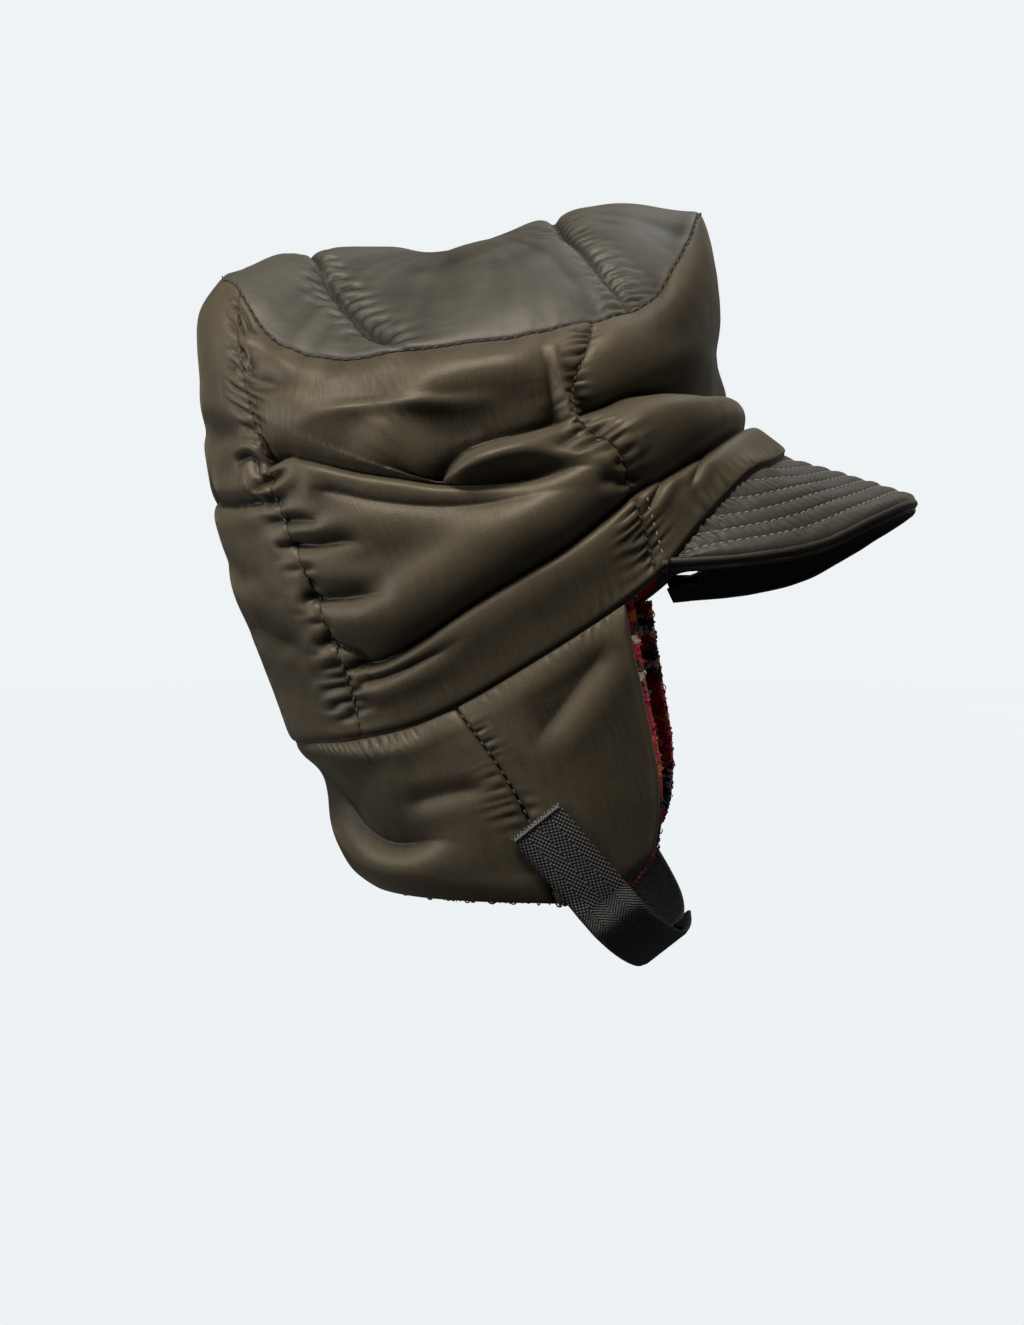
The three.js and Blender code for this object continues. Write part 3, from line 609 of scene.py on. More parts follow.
flapFolds = table("side depth crease above below lip ends blunt line", [
    (-1, 7, (20, 5), (0, 1, 1), (2, 10, 9), 1, (0.3, 0.35), 1.5,
     [(-90, -62), (-84.1, -68), (-77.1, -78), (-69.6, -86.5), (-61, -92.5), (-52.5, -95), (-43.9, -94.5),
      (-36, -92.8), (-26.8, -91.8), (-12, -93)]),
    (-1, 3.2, (12, 5), (0, 1, 1), (1.2, 9, 7), 0, (0.3, 0.3), 1.6,
     [(3, -59), (10.4, -48.4), (18.3, -38.1), (25.5, -28.2), (31.6, -19.1), (36, -10)]),
    (-1, 0, (1, 1), (2.6, 0, 7), (0, 1, 1), 0, (0.3, 0.35), 1, [(-80, -52), (-62, -54), (-45, -53), (-28, -52)]),
    (-1, 2, (7, 5), (0.6, 6, 5), (0.8, 6, 5), 0, (0.35, 0.35), 1.6, [(-50, -80), (-36, -76), (-20, -72), (-8, -72)]),
    (1, 5, (18, 5), (0, 1, 1), (2.6, 8, 7), 1, (0.3, 0.35), 1.5,
     [(-86, -62), (-76, -78), (-62, -92), (-44, -94), (-24, -90)]),
    (1, 2.8, (12, 5), (0, 1, 1), (1, 8, 7), 0, (0.3, 0.3), 1.6, [(2, -60), (14, -44), (26, -28), (34, -12)]),
])


def flapSurface(around, fall):
    point = flapBase(around, fall, 0)
    normal = flapNormal(around, fall, 0)
    around, fall = np.broadcast_arrays(around, fall)
    toEdge = np.minimum(fall, 1 - fall) * 6
    inward = np.minimum(around, 1 - around)
    swell = flap["swell"] * np.sqrt(smooth(np.minimum(toEdge, inward * 40) * 1.3))
    swell = swell - flap["seamDip"] * np.exp(-np.abs(inward - flap["earShare"]) / flap["seamReach"])
    free = smooth(toEdge) * smooth(inward * 30)
    out, down = foldShift(point, flapFolds)
    point = point + normal * (swell + free * (out + wobbles(point, flap["wobbles"])))[..., None]
    point[..., 2] -= free * down
    return point, normal


def flapPanel(name, start, end, columns, ends, sides, seed):
    fall = np.linspace(1, 0, 121)[:, None]
    clear = 0.0005  # of its neighbours
    around = np.linspace(start + clear * (start > 0), end - clear * (end < 1), columns + 1)[None]
    around, fall = np.broadcast_arrays(around, fall)
    base, normal = flapSurface(around, fall)
    inner = flapBase(around, fall, 0) - normal * flap["wall"]
    outer = gathered(base, sides, ends, seed, flap)
    return closedPad(name, outer, inner[::8, ::4], [nylon, fleece], clothUv(base))


def cellWay(points, size, seed):  # the way to the nearest of scattered spots, one spot to a cell
    spots = np.random.default_rng(seed).uniform(0, 1, (16, 16, 16, 3))
    spot = points / size
    cell = np.floor(spot).astype(int)
    best = np.full(points.shape[:-1], 9.0)
    for di in (-1, 0, 1):
        for dj in (-1, 0, 1):
            for dk in (-1, 0, 1):
                at = cell + (di, dj, dk)
                centre = at + spots[at[..., 0] % 16, at[..., 1] % 16, at[..., 2] % 16]
                best = np.minimum(best, np.linalg.norm(centre - spot, axis=-1))
    return best


def flapLining():
    fall = np.linspace(1 + lining["hang"], 0.04, 97)[:, None]
    around = np.linspace(1, 0, 321)[None]  # the other way round, so that it faces inward
    around, fall = np.broadcast_arrays(around, fall)
    point = flapBase(around, fall, lining["shows"])
    normal = flapNormal(around, fall, lining["shows"])
    high, size, seed = lining["clumps"]
    pile = high * (0.6 - cellWay(point, size, seed)) + wobbles(point, lining["fuzz"])
    face = point - normal * (lining["outside"] + lining["wall"] + pile)[..., None]
    back = point - normal * lining["outside"]
    uv = clothUv(face)
    piece = closedPad("flap_lining_fleece", face, back[::4, ::4], [fleece], uv)
    rng = np.random.default_rng(53)
    spots, marks = [], []
    rows, columns = face.shape[:2]
    for bottom, first, last, count, atEdge in (  # all over, then along the front edges and the hem
        (rows, 0, columns, 1550, False), (rows, 0, 3, 520, True),
        (rows, columns - 3, columns, 520, True), (2, 0, columns, 560, True),
    ):
        i, j = rng.integers(0, bottom, count), rng.integers(first, last, count)
        through = rng.uniform(0, 1, count)[:, None] if atEdge else 0
        spots.append(mix(face[i, j], back[i, j], 0.8 * through))
        marks.append(uv[i, j])
    return piece, curls("flap_lining_curls", np.concatenate(spots), np.concatenate(marks), yarn, 54)


yarn = {"loop": 1.1, "thick": 0.34, "turns": 6, "sides": 4, "arc": (3.2, 5.4)}


def curls(name, spots, marks, spec, seed):  # small loops of yarn, each turned its own way
    rng = np.random.default_rng(seed)
    count, turns, sides = len(spots), spec["turns"], spec["sides"]
    first = unit(rng.normal(size=(count, 3)))
    third = unit(np.cross(first, rng.normal(size=(count, 3))))
    turned = np.stack([first, np.cross(third, first), third], 1)
    big = spec["loop"] * rng.uniform(0.7, 1.3, (count, 1, 1, 1))
    thick = spec["thick"] * rng.uniform(0.8, 1.2, (count, 1, 1, 1))
    share = np.linspace(0, 1, turns + 1)[None, :, None]
    arc, turn = rng.uniform(*spec["arc"], (count, 1, 1)) * share, np.arange(sides)[None, None] * 2 * np.pi / sides
    a, share, b = np.broadcast_arrays(arc, share, turn)
    outward = np.stack([np.cos(a), np.sin(a), 0 * a], -1)
    fat = thick * np.where((share == 0) | (share == 1), 0.5, 1)[..., None]
    b, share = b[..., None], share[..., None]
    local = outward * (big + fat * np.cos(b)) + upward * (big * 0.5 * share + fat * np.sin(b))
    points = np.einsum("ntsc,ncd->ntsd", local, turned) + spots[:, None, None]
    uv = np.repeat(marks, (turns + 1) * sides, 0)
    return manyTubes(name, points.reshape(-1, 3), turns + 1, sides, fleece, uv)


# Peak: along runs from the left corner (-1) to the right one, out from the seam to the edge

peak = {
    "angle": 66, "tilt": 0.07, "wall": 3.6, "facing": 2, "gap": 0.6, "rows": 8, "camber": 0.5,
    "tuck": 5.5, "tuckReach": 20,  # how far its root goes in under the crown
    "width": 165, "pucker": 4.6, "puckerReach": 17, "corner": 2, "cornerFall": 1.5, "sag": ((0.25, 8, 63),),
}
peakStations = table("along across forward up", [
    (-0.2, -27, 150.5, 38.2), (0, 0, 156, 41), (0.2, 27, 150.5, 38.2), (0.4, 49, 135, 29.5),
    (0.6, 65, 113.5, 18.5), (0.8, 76.5, 86, 12.5), (1, 82.5, 52, 9.5),
])


def peakEnds(along):
    station = lambda name: column(peakStations, "along", name, np.abs(along))
    left = -np.sign(along) * station("across")
    edge = place(left, station("forward"), station("up") - peak["tilt"] * left)
    angle = np.radians(peak["angle"]) * along
    return crownOval(angle, 0) - crownNormal(angle, 0.03) * 2 - 1.5 * upward, edge


def peakSurface(along, out, depth):
    root, edge = peakEnds(along)
    lean = unit(place(-0.55 * along, 0.12, 1))
    tuck = peak["tuck"] / np.maximum(peakReach(along), peak["tuckReach"]) * (1 - out) ** 8
    point = mix(root, edge, (out - tuck)[..., None])
    camber = peak["camber"] * np.sin(np.pi * out) * (1 - along**2)
    return point + lean * (camber - depth)[..., None], lean


def peakReach(along):
    root, edge = peakEnds(along)
    return np.linalg.norm(edge - root, axis=-1)


def peakMeets(inset):  # where a line at this distance from the edge meets the crown's seam
    low, high = np.zeros(np.shape(inset)), np.ones(np.shape(inset))
    for _ in range(30):
        middle = (low + high) / 2
        inside = peakReach(middle) > inset
        low, high = np.where(inside, middle, low), np.where(inside, high, middle)
    return low


def peakGrid(rows, columns):  # lines that follow the edge, from the edge to the crown's seam
    inset = np.linspace(0.02, 0.97 * peakReach(0), rows + 1)[:, None]
    along = np.linspace(-0.985, 0.985, columns + 1)[None] * peakMeets(inset)
    return inset, along, np.clip(1 - inset / peakReach(along), 0, 1)


def peakTop():
    inset, along, out = peakGrid(128, 352)
    base, lean = peakSurface(along, out, 0)
    channel = inset * peak["rows"] / peakReach(0)
    toSeam = np.minimum(*edgeWays(base)[:2])
    phase = along * peak["width"] * 2 * np.pi / peak["pucker"] + 4 * noiseAt(base, 14, 61)
    held = np.cos(phase) * (0.14 + np.exp(-toSeam / peak["puckerReach"])) * (0.8 + 0.9 * noiseAt(base, 8, 66))
    soft = 1 + 0.3 * noiseAt(base, 6, 62)
    quilt = np.sqrt(np.abs(np.sin(np.pi * channel))) * (soft - 0.85 * held)
    roll = peak["cornerFall"] * (1 - np.sqrt(1 - np.clip(1 - inset / peak["corner"], 0, 1) ** 2))
    base = base + lean * (quilt - roll)[..., None]
    inner = peakSurface(along[::8, ::4], out[::8, ::4], peak["wall"])[0]
    return closedPad("peak_quilted", base, inner, [nylonPeak, underside], clothUv(base))


def peakFacing():
    _, along, out = (field[::-1] for field in peakGrid(48, 168))
    low, lean = peakSurface(along, out, peak["wall"] + peak["gap"] + peak["facing"])
    low = low + lean * wobbles(low, peak["sag"])[..., None]
    upper = peakSurface(along[::4, ::4], out[::4, ::4], peak["wall"] + peak["gap"])[0]
    return closedPad("peak_underside", low, upper, [underside], clothUv(low))


def peakBinding(name, depth, thick, seed):  # the rolled edge of a layer
    along = np.linspace(-0.985, 0.985, 400)
    middle, lean = peakSurface(along, np.ones_like(along), depth)
    outward = unit(np.cross(np.gradient(middle, axis=0), lean))
    outward *= np.sign((outward * (middle - peakEnds(along)[0])).sum(-1, keepdims=True))
    fat = (thick + 0.12 * softNoise(np.arange(len(along)) / 6, 0, 0, seed))[:, None]
    return tube(name, middle - outward * 0.6, outward * fat, lean * fat, 10, [nylonPeak])


def tube(name, middle, wide, high, sides, materials):  # closed rings along a line, wide and high from its middle
    turn = np.linspace(0, 2 * np.pi, sides + 1)[:-1, None]
    rings = middle[:, None] + wide[:, None] * np.cos(turn) + high[:, None] * np.sin(turn)
    uv = np.stack(np.broadcast_arrays(lengths(rings, 0)[:, :1] / 100, np.arange(sides) / 60), -1)
    faces = tubeFaces(len(rings), sides)
    return fixNormals(makeMesh(name, rings.reshape(-1, 3), faces, materials, uv.reshape(-1, 2)))


def fixNormals(piece):  # turns its faces outward
    made = bmesh.new()
    made.from_mesh(piece.data)
    bmesh.ops.recalc_face_normals(made, faces=made.faces)
    made.to_mesh(piece.data)
    made.free()
    return piece


def seamRoll():  # the turned-in edges between the crown and what hangs from it
    angle = np.linspace(0, 2 * np.pi, 361)
    outward = crownNormal(angle, 0.03)
    middle = crownOval(angle, 0) - 2.6 * outward - 0.3 * upward
    return tube("head_seam_roll", middle, 1.9 * outward, np.broadcast_to(1.7 * upward, middle.shape), 8, [nylon])


# Stitches

# Rings of one stitch: a share of its length, how fat it is and how high it lies, in thread radii
stitchRings = [(-0.5, 0.25, -0.9), (-0.36, 0.8, 0.2), (0, 1, 0.75), (0.36, 0.8, 0.2), (0.5, 0.25, -0.9)]
stitchSides = 5


def readAlong(field, way, where):
    return np.stack([np.interp(where, way, field[:, c]) for c in range(3)], -1)


def stitches(name, paths, spec, material):  # paths: (points, normals) in millimetres
    where, fat, lift = np.array(stitchRings).T[:, None, :, None, None]
    turn = (np.arange(stitchSides) * 2 * np.pi / stitchSides)[:, None]
    made = []
    rng = np.random.default_rng(71)
    for path, normals in paths:
        way = lengths(path, 0)
        at = np.arange(spec["pitch"] / 2, way[-1], spec["pitch"])
        at = at + rng.uniform(-0.06, 0.06, len(at)) * spec["pitch"]
        normal = unit(readAlong(normals, way, at))
        tangent = unit(readAlong(path, way, at + 0.5) - readAlong(path, way, at - 0.5))
        slant = rng.uniform(-0.08, 0.08, len(at)) + spec.get("slant", 0)
        tangent = unit(tangent + unit(np.cross(normal, tangent)) * slant[:, None])
        side = unit(np.cross(normal, tangent))
        centre, tangent, normal, side = (
            field[:, None, None] for field in (readAlong(path, way, at), tangent, normal, side)
        )
        up = spec["lift"] + spec["thread"] * (lift + fat * np.sin(turn))
        across = spec["thread"] * fat * np.cos(turn)
        made.append((centre + tangent * where * spec["length"] + normal * up + side * across).reshape(-1, 3))
    return fixNormals(manyTubes(name, np.concatenate(made), len(stitchRings), stitchSides, material))


stitching = {
    "peak": {"pitch": 3.3, "length": 2.5, "thread": 0.32, "lift": 0.05},
    "seam": {"pitch": 4.4, "length": 2.6, "thread": 0.36, "lift": 0.15, "slant": 0.12},
    "light": {"pitch": 3.4, "length": 2.3, "thread": 0.32, "lift": 0.3},
    "strapEnd": {"pitch": 1.15, "length": 2, "thread": 0.42, "lift": 0.95, "slant": 0.9},
}


def seamStitches():
    rise = np.linspace(0.02, 0.98, 500)
    low = np.linspace(0.03, 0.24, 200)
    paths, light = [], []
    for sign in (1, -1):
        for seam in ("frontSeam", "rearSeam"):
            angle = sign * np.radians(seamDegrees(seam, rise))
            paths.append((crownSurface(angle, rise), crownNormal(angle, rise)))
        angle = sign * np.radians(seamDegrees("frontSeam", low) - 2.2)
        light.append((crownSurface(angle, low), crownNormal(angle, low)))
    fall = np.linspace(0.03, 0.97, 300)
    paths += [flapSurface(np.full_like(fall, around), fall) for around in (flap["earShare"], 1 - flap["earShare"])]
    ahead, aside = np.meshgrid(np.linspace(-1, 1, 700), np.linspace(0.96, -0.96, 200), indexing="ij")
    point, _ = topSurface(ahead, aside, 0)
    for seam in top["crossSeams"]:
        line = point[seamAway(point, seam).argmin(0), np.arange(point.shape[1])]
        paths.append((line, np.broadcast_to(upward, line.shape)))
    angle = np.linspace(0, 2 * np.pi, 900)
    outward = crownNormal(angle, 1)
    paths.append((crownOval(angle, 1) + outward * 0.2, unit(outward + upward)))
    return (stitches("seam_stitches", paths, stitching["seam"], threadDark),
            stitches("light_stitches", light, stitching["light"], threadLight))


def peakStitches():
    paths = []
    for k in range(1, peak["rows"]):
        inset = k * peakReach(0) / peak["rows"]
        along = np.linspace(-0.97, 0.97, 500) * peakMeets(inset)
        paths.append(peakSurface(along, 1 - inset / peakReach(along), -0.1))
    return stitches("peak_stitches", paths, stitching["peak"], threadLight)


# Chin strap

strap = {
    "top": (7, -83.5), "slope": 51, "clear": 0.9, "width": 23, "thick": 1.6, "length": 190, "rib": 1.5,
    "patchThick": 1.2, "patchLength": 34, "patchWidth": 18,
}
strapRun = table("k down across", [
    (0, 40, 80), (1, 51, 75.5), (2, 62, 64), (3, 71, 46), (4, 75.5, 26), (5, 77, 0), (6, 75.8, -22),
])


def flapReach(forward, up):  # how far to the side the flap's outer face lies there
    head = headSeamUp(forward, 1)
    fall = np.clip((head - np.clip(up, flap["bottom"] + 1, 0)) / (head - flap["bottom"]), 0, 1)
    middle, halfLength, halfWidth = (
        column(flapLevels, "fall", name, fall) for name in ("forward", "halfLength", "halfWidth")
    )
    return power(np.sin(flapAngle(forward, middle, halfLength)), 2 / crown["ovalPower"]) * halfWidth + flap["swell"]


def strapPoint(side, travel, width):
    travel, width = np.broadcast_arrays(travel, width)
    half = strap["width"] / 2 * width
    free = strapRun[0]["down"]
    run = np.clip((travel - free) / (strap["length"] - free), 0, 1)
    step = strap["thick"] + 2 * strap["patchThick"] + strap["clear"]  # the left half passes inside the right one
    inner = step * smooth(3 * run) if side > 0 else 0 * run
    slope = math.radians(strap["slope"])
    down, wide = (math.cos(slope), -math.sin(slope)), (math.sin(slope), math.cos(slope))
    spot = lambda d: [strap["top"][c] + down[c] * (d - inner) + wide[c] * half for c in (0, 1)]
    reach = lambda at: flapReach(at[0], at[1]) + strap["clear"] + strap["thick"] / 2
    t = run * (len(strapRun) - 1)
    settleIn = (reach(spot(free)) - strapRun[0]["across"]) * (1 - smooth(t))
    onFlap = travel <= free
    near, far = spot(travel), spot(column(strapRun, "k", "down", t))
    across = np.where(onFlap, reach(near), column(strapRun, "k", "across", t) + settleIn)
    return place(side * across, np.where(onFlap, near[0], far[0]), np.where(onFlap, near[1], far[1]))


def ribbonFrame(side, travel, cross):
    last = strap["length"]
    ahead = strapPoint(side, np.minimum(travel + 1, last), cross)
    behind = strapPoint(side, np.maximum(travel - 1, 0), cross)
    alongWidth = strapPoint(side, travel, 1) - strapPoint(side, travel, -1)
    return strapPoint(side, travel, cross), unit(np.cross(ahead - behind, alongWidth)) * side


def ribbon(name, side, start, end, width, thick, lift, rows, columns, material, rough=0):
    v, u = np.meshgrid(np.linspace(0, 1, rows + 1), np.linspace(-1, 1, columns + 1), indexing="ij")
    travel = mix(start, end, v if side > 0 else 1 - v)
    point, normal = ribbonFrame(side, travel, u * width / strap["width"])
    edge = thick / 2 * (1 - 0.75 * smooth((np.abs(u) - 0.9) / 0.1) ** 2)
    if rough:
        bumps = rough * (0.6 - cellWay(point, 1.6, 81))
    else:
        bumps = 0.05 * np.sin(travel * 2 * np.pi / strap["rib"]) * np.cos(u * 19)
    outer = point + normal * (lift + edge + bumps)[..., None]
    inner = (point + normal * (lift - edge)[..., None])[::4, ::4]
    uv = np.stack([u * width / 200, travel / 100], -1)
    return closedPad(name, outer, inner, [material], uv)


# Materials

class Value:  # a socket that can be used in sums
    def __init__(self, look, socket):
        self.look, self.socket = look, socket

    def math(self, operation, *others):
        return self.look.node("ShaderNodeMath", [self, *others], operation=operation)

    def __add__(self, other):
        return self.math("ADD", other)

    def __sub__(self, other):
        return self.math("SUBTRACT", other)

    def __mul__(self, other):
        return self.math("MULTIPLY", other)

    def __rsub__(self, other):
        return self.look.node("ShaderNodeMath", [other, self], operation="SUBTRACT")

    __radd__, __rmul__ = __add__, __mul__


class Look:  # a material and its nodes
    def __init__(self, name):
        self.material = bpy.data.materials.new(name)
        self.material.use_nodes = True
        self.tree = self.material.node_tree
        self.tree.nodes.clear()

    def feed(self, socket, value):
        if isinstance(value, Value):
            self.tree.links.new(value.socket, socket)
        else:
            socket.default_value = value

    def node(self, kind, sockets=(), out=0, **settings):
        made = self.tree.nodes.new(kind)
        for name, value in settings.items():
            setattr(made, name, value)
        for name, value in sockets.items() if isinstance(sockets, dict) else enumerate(sockets):
            self.feed(made.inputs[name], value)
        return Value(self, made.outputs[out])

    def uv(self):
        return self.node("ShaderNodeUVMap")

    def place(self):
        return self.node("ShaderNodeTexCoord", out="Object")

    def part(self, vector, axis):
        return self.node("ShaderNodeSeparateXYZ", [vector], axis)

    def noise(self, where, scale, detail=3, roughness=0.5, distortion=0):
        return self.node("ShaderNodeTexNoise", {
            "Vector": where, "Scale": scale, "Detail": detail, "Roughness": roughness, "Distortion": distortion,
        }, "Fac")

    def threads(self, where, scale, detail=2, roughness=0.5):  # noise stretched along or across the cloth
        stretched = self.node("ShaderNodeMapping", {"Vector": where, "Scale": (*scale, 1)})
        return self.noise(stretched, 1, detail, roughness)

    def blend(self, share, first, second):
        colours = (value if isinstance(value, Value) else (*value, 1) for value in (first, second))
        return self.node("ShaderNodeMix", dict(zip((0, 6, 7), (share, *colours))), 2, data_type="RGBA")

    def ramp(self, share, stops, interpolation="LINEAR"):
        made = self.node("ShaderNodeValToRGB", {"Fac": share})
        ramp = made.socket.node.color_ramp
        while len(ramp.elements) < len(stops):
            ramp.elements.new(0.5)
        for element, (at, colour) in zip(ramp.elements, stops):
            element.position, element.color = at, (*colour, 1)
        ramp.interpolation = interpolation
        return made

    def bump(self, height, distance, strength):
        return self.node("ShaderNodeBump", {"Height": height, "Distance": distance, "Strength": strength})

    def done(self, **sockets):
        named = {name.replace("_", " "): value for name, value in sockets.items()}
        end = self.tree.nodes.new("ShaderNodeOutputMaterial")
        self.feed(end.inputs["Surface"], self.node("ShaderNodeBsdfPrincipled", named))
        return self.material


def shaded(colour, by):
    return tuple(part * by for part in colour)


# The last three: how far the painted shade and highlight move the colour, how dark the painted-shade end and how bright
# the painted-highlight end of the colour ramp are
nylonLook = {
    "warp": (230, 8), "weft": (7, 300), "streak": (70, 2.2), "cloud": 20, "crinkle": 150,
    "shares": (0.26, 0.14, 0.2, 0.4), "painted_shade_and_highlight": 0.28, "shadow": 0.4, "shine": 1.3,
}


def satinNylon(name, dark, light, rough, tint):
    look = Look(name)
    uv, place = look.uv(), look.place()
    warp, weft = look.threads(uv, nylonLook["warp"]), look.threads(uv, nylonLook["weft"])
    streak = look.threads(uv, nylonLook["streak"], 3, 0.6)
    cloud = look.noise(place, nylonLook["cloud"])
    crinkle = look.noise(place, nylonLook["crinkle"], 4, 0.6, 0.5)
    # painted shade in creases and seams and painted highlight on ridges, read from the cloth's points
    paintedShadeAndHighlight = look.node("ShaderNodeAttribute", out="Fac", attribute_name="painted_shade_and_highlight")
    a, b, c, d = nylonLook["shares"]
    shade = warp * a + weft * b + streak * c + cloud * d - paintedShadeAndHighlight * nylonLook["painted_shade_and_highlight"]
    # the shadow stop is painted shade, the shine stop a painted highlight
    shadow, shine = shaded(dark, nylonLook["shadow"]), shaded(light, nylonLook["shine"])
    stops = [(0.2, shadow), (0.38, dark), (0.66, light), (0.9, shine)]
    height = (warp + weft) * 0.4 + streak * 0.15 + crinkle
    return look.done(Base_Color=look.ramp(shade, stops), Roughness=(cloud + streak) * 0.1 + (rough - 0.1),
                     Normal=look.bump(height, 0.0004, 0.4), Specular_IOR_Level=0.3, Specular_Tint=(*tint, 1),
                     Sheen_Weight=0.12, Sheen_Roughness=0.4, Sheen_Tint=(0.8, 0.7, 0.5, 1))


red, navy, black = (0.5, 0.014, 0.035), (0.01, 0.014, 0.05), (0.014, 0.014, 0.017)
cream, orange = (0.72, 0.64, 0.48), (0.75, 0.18, 0.02)
plaid = {  # where each band of colour starts, as a share of one repeat
    "up": [(0, red), (0.14, navy), (0.31, red), (0.475, orange), (0.5, red), (0.62, black), (0.67, cream), (0.7, black),
           (0.745, red), (0.79, cream), (0.82, black), (0.86, orange), (0.89, red)],
    "across": [(0, red), (0.2, navy), (0.36, red), (0.46, cream), (0.5, black), (0.54, red), (0.7, orange),
               (0.73, red)],
    "upRepeats": 0.77, "acrossRepeats": 0.9, "acrossStart": 0.05,
}


def fleecePlaid():
    look = Look("plaid fleece")
    uv, place = look.uv(), look.place()
    wander = look.noise(place, 180, 2) * 0.05
    up = look.part(uv, "Y") * plaid["upRepeats"] + wander
    across = look.part(uv, "X") * plaid["acrossRepeats"] + plaid["acrossStart"] + wander
    bands = [look.ramp(way.math("FRACT"), plaid[name], "CONSTANT") for way, name in ((up, "up"), (across, "across"))]
    colour = look.blend(look.noise(place, 420, 1).math("GREATER_THAN", 0.56), *bands)
    tuft = look.noise(place, 900)
    return look.done(Base_Color=look.blend(tuft * 0.4, colour, (0.02, 0.01, 0.012)), Roughness=0.95,
                     Normal=look.bump(tuft, 0.0006, 0.8), Specular_IOR_Level=0.2,
                     Sheen_Weight=0.35, Sheen_Roughness=0.5, Sheen_Tint=(0.9, 0.7, 0.7, 1))


def herringbone():
    look = Look("herringbone webbing")
    uv = look.uv()
    across, along = (look.part(uv, axis) * 100 for axis in "XY")  # millimetres
    quarter = strap["width"] / 4
    band = (across + 2 * quarter).math("PINGPONG", quarter)
    ribs = ((band * 0.9 + along * 0.44) * 4.7).math("SINE") * 0.5 + 0.5
    beads = ((along * 0.9 - band * 0.44) * 5.1).math("SINE") * 0.5 + 0.5
    light = ribs * (beads * 0.7 + 0.3) + look.threads(uv, (90, 90)) * 0.7 - 0.45
    colour = look.ramp(light, [(0.1, (0.007, 0.0074, 0.008)), (0.5, (0.115, 0.115, 0.112))])
    return look.done(Base_Color=look.blend(look.noise(uv, 4, 2) * 0.6, colour, (0.012, 0.012, 0.0125)),
                     Roughness=0.65 - ribs * 0.12, Normal=look.bump(ribs + beads * 0.5, 0.0005, 0.7),
                     Specular_IOR_Level=0.35)


def plain(name, colour, other, rough, scale, bump):
    look = Look(name)
    grain = look.noise(look.place(), scale, 4)
    return look.done(Base_Color=look.blend(grain, colour, other), Roughness=rough + 0.1 * grain,
                     Normal=look.bump(grain, bump, 0.6), Specular_IOR_Level=0.35)


# Rows: the nylon, the top's copy of it greyed as painted cool sky light, and the peak's
nylons = table("dark light rough tint", [
    ((0.0265, 0.0217, 0.0138), (0.0585, 0.0485, 0.0318), 0.47, (1, 0.9, 0.75)),
    ((0.0265, 0.0248, 0.0197), (0.0525, 0.0502, 0.0405), 0.48, (1, 0.97, 0.9)),
    ((0.0195, 0.018, 0.0148), (0.0385, 0.0362, 0.0303), 0.52, (1, 0.94, 0.85)),
])
nylon, nylonTopPaintedSkyGrey, nylonPeak = (
    satinNylon("satin nylon" + where, **row) for where, row in zip(("", " of the top, greyed as painted sky light", " of the peak"), nylons)
)
underside = plain("dark lining of the peak", (0.01, 0.01, 0.012), (0.022, 0.022, 0.026), 0.55, 500, 0.0003)
fleece = fleecePlaid()
webbing = herringbone()
hookTape = plain("hook-and-loop tape", (0.006, 0.006, 0.007), (0.03, 0.03, 0.032), 0.85, 900, 0.0008)
threadLight = plain("light thread", (0.14, 0.13, 0.1), (0.3, 0.28, 0.225), 0.6, 1500, 0.0001)
threadDark = plain("dark thread", (0.035, 0.03, 0.02), (0.075, 0.065, 0.045), 0.55, 1500, 0.0001)
webbingThread = plain("grey thread", (0.05, 0.05, 0.05), (0.2, 0.2, 0.2), 0.6, 1500, 0.0001)
print("materials made")


# The pieces

def finished(piece, replaced=()):
    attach(piece, "root")
    if replaced:
        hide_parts(*replaced)
    return piece


def seamAngle(seam, side=1, turns=0):  # side: 1 right, -1 left
    return lambda rise: 2 * np.pi * turns + side * np.radians(seamDegrees(seam, rise))


rightFront, rightRear = seamAngle("frontSeam"), seamAngle("rearSeam")
leftFront, leftRear = seamAngle("frontSeam", -1, 1), seamAngle("rearSeam", -1, 1)
for seed, (side, first, last) in enumerate((
    ("front", seamAngle("frontSeam", -1), rightFront), ("right", rightFront, rightRear),
    ("back", rightRear, leftRear), ("left", leftRear, leftFront),
), 11):
    finished(crownPanel(f"crown_{side}_cloth", first, last, seed), [f"crown_{side}_panel"])
finished(crownTop(), ["crown_top"])
print("crown made")

ear = flap["earShare"]
hem, earGather, nape, seamPull = (flap[edge + "Gather"] for edge in ("hem", "ear", "nape", "seam"))
for seed, (name, start, end, columns, upper, sides) in enumerate((
    ("ear_flap_right", 0, ear, 112, earGather, (hem, seamPull)),
    ("neck_flap", ear, 1 - ear, 400, nape, (seamPull, seamPull)),
    ("ear_flap_left", 1 - ear, 1, 112, earGather, (seamPull, hem)),
), 31):
    finished(flapPanel(name + "_cloth", start, end, columns, (hem, upper), sides, seed), [name])
fleecePiece, yarnLoops = flapLining()
finished(fleecePiece, ["flap_lining"])
finished(yarnLoops)
finished(seamRoll())
print("flap made")

finished(peakTop(), ["peak_top"])
finished(peakFacing(), ["peak_facing"])
finished(peakBinding("peak_edge_roll", 1.9, 1.5, 64))
finished(peakBinding("facing_edge_roll", 4.9, 1.15, 65))
finished(peakStitches())
for made in seamStitches():
    finished(made)
print("peak and stitches made")

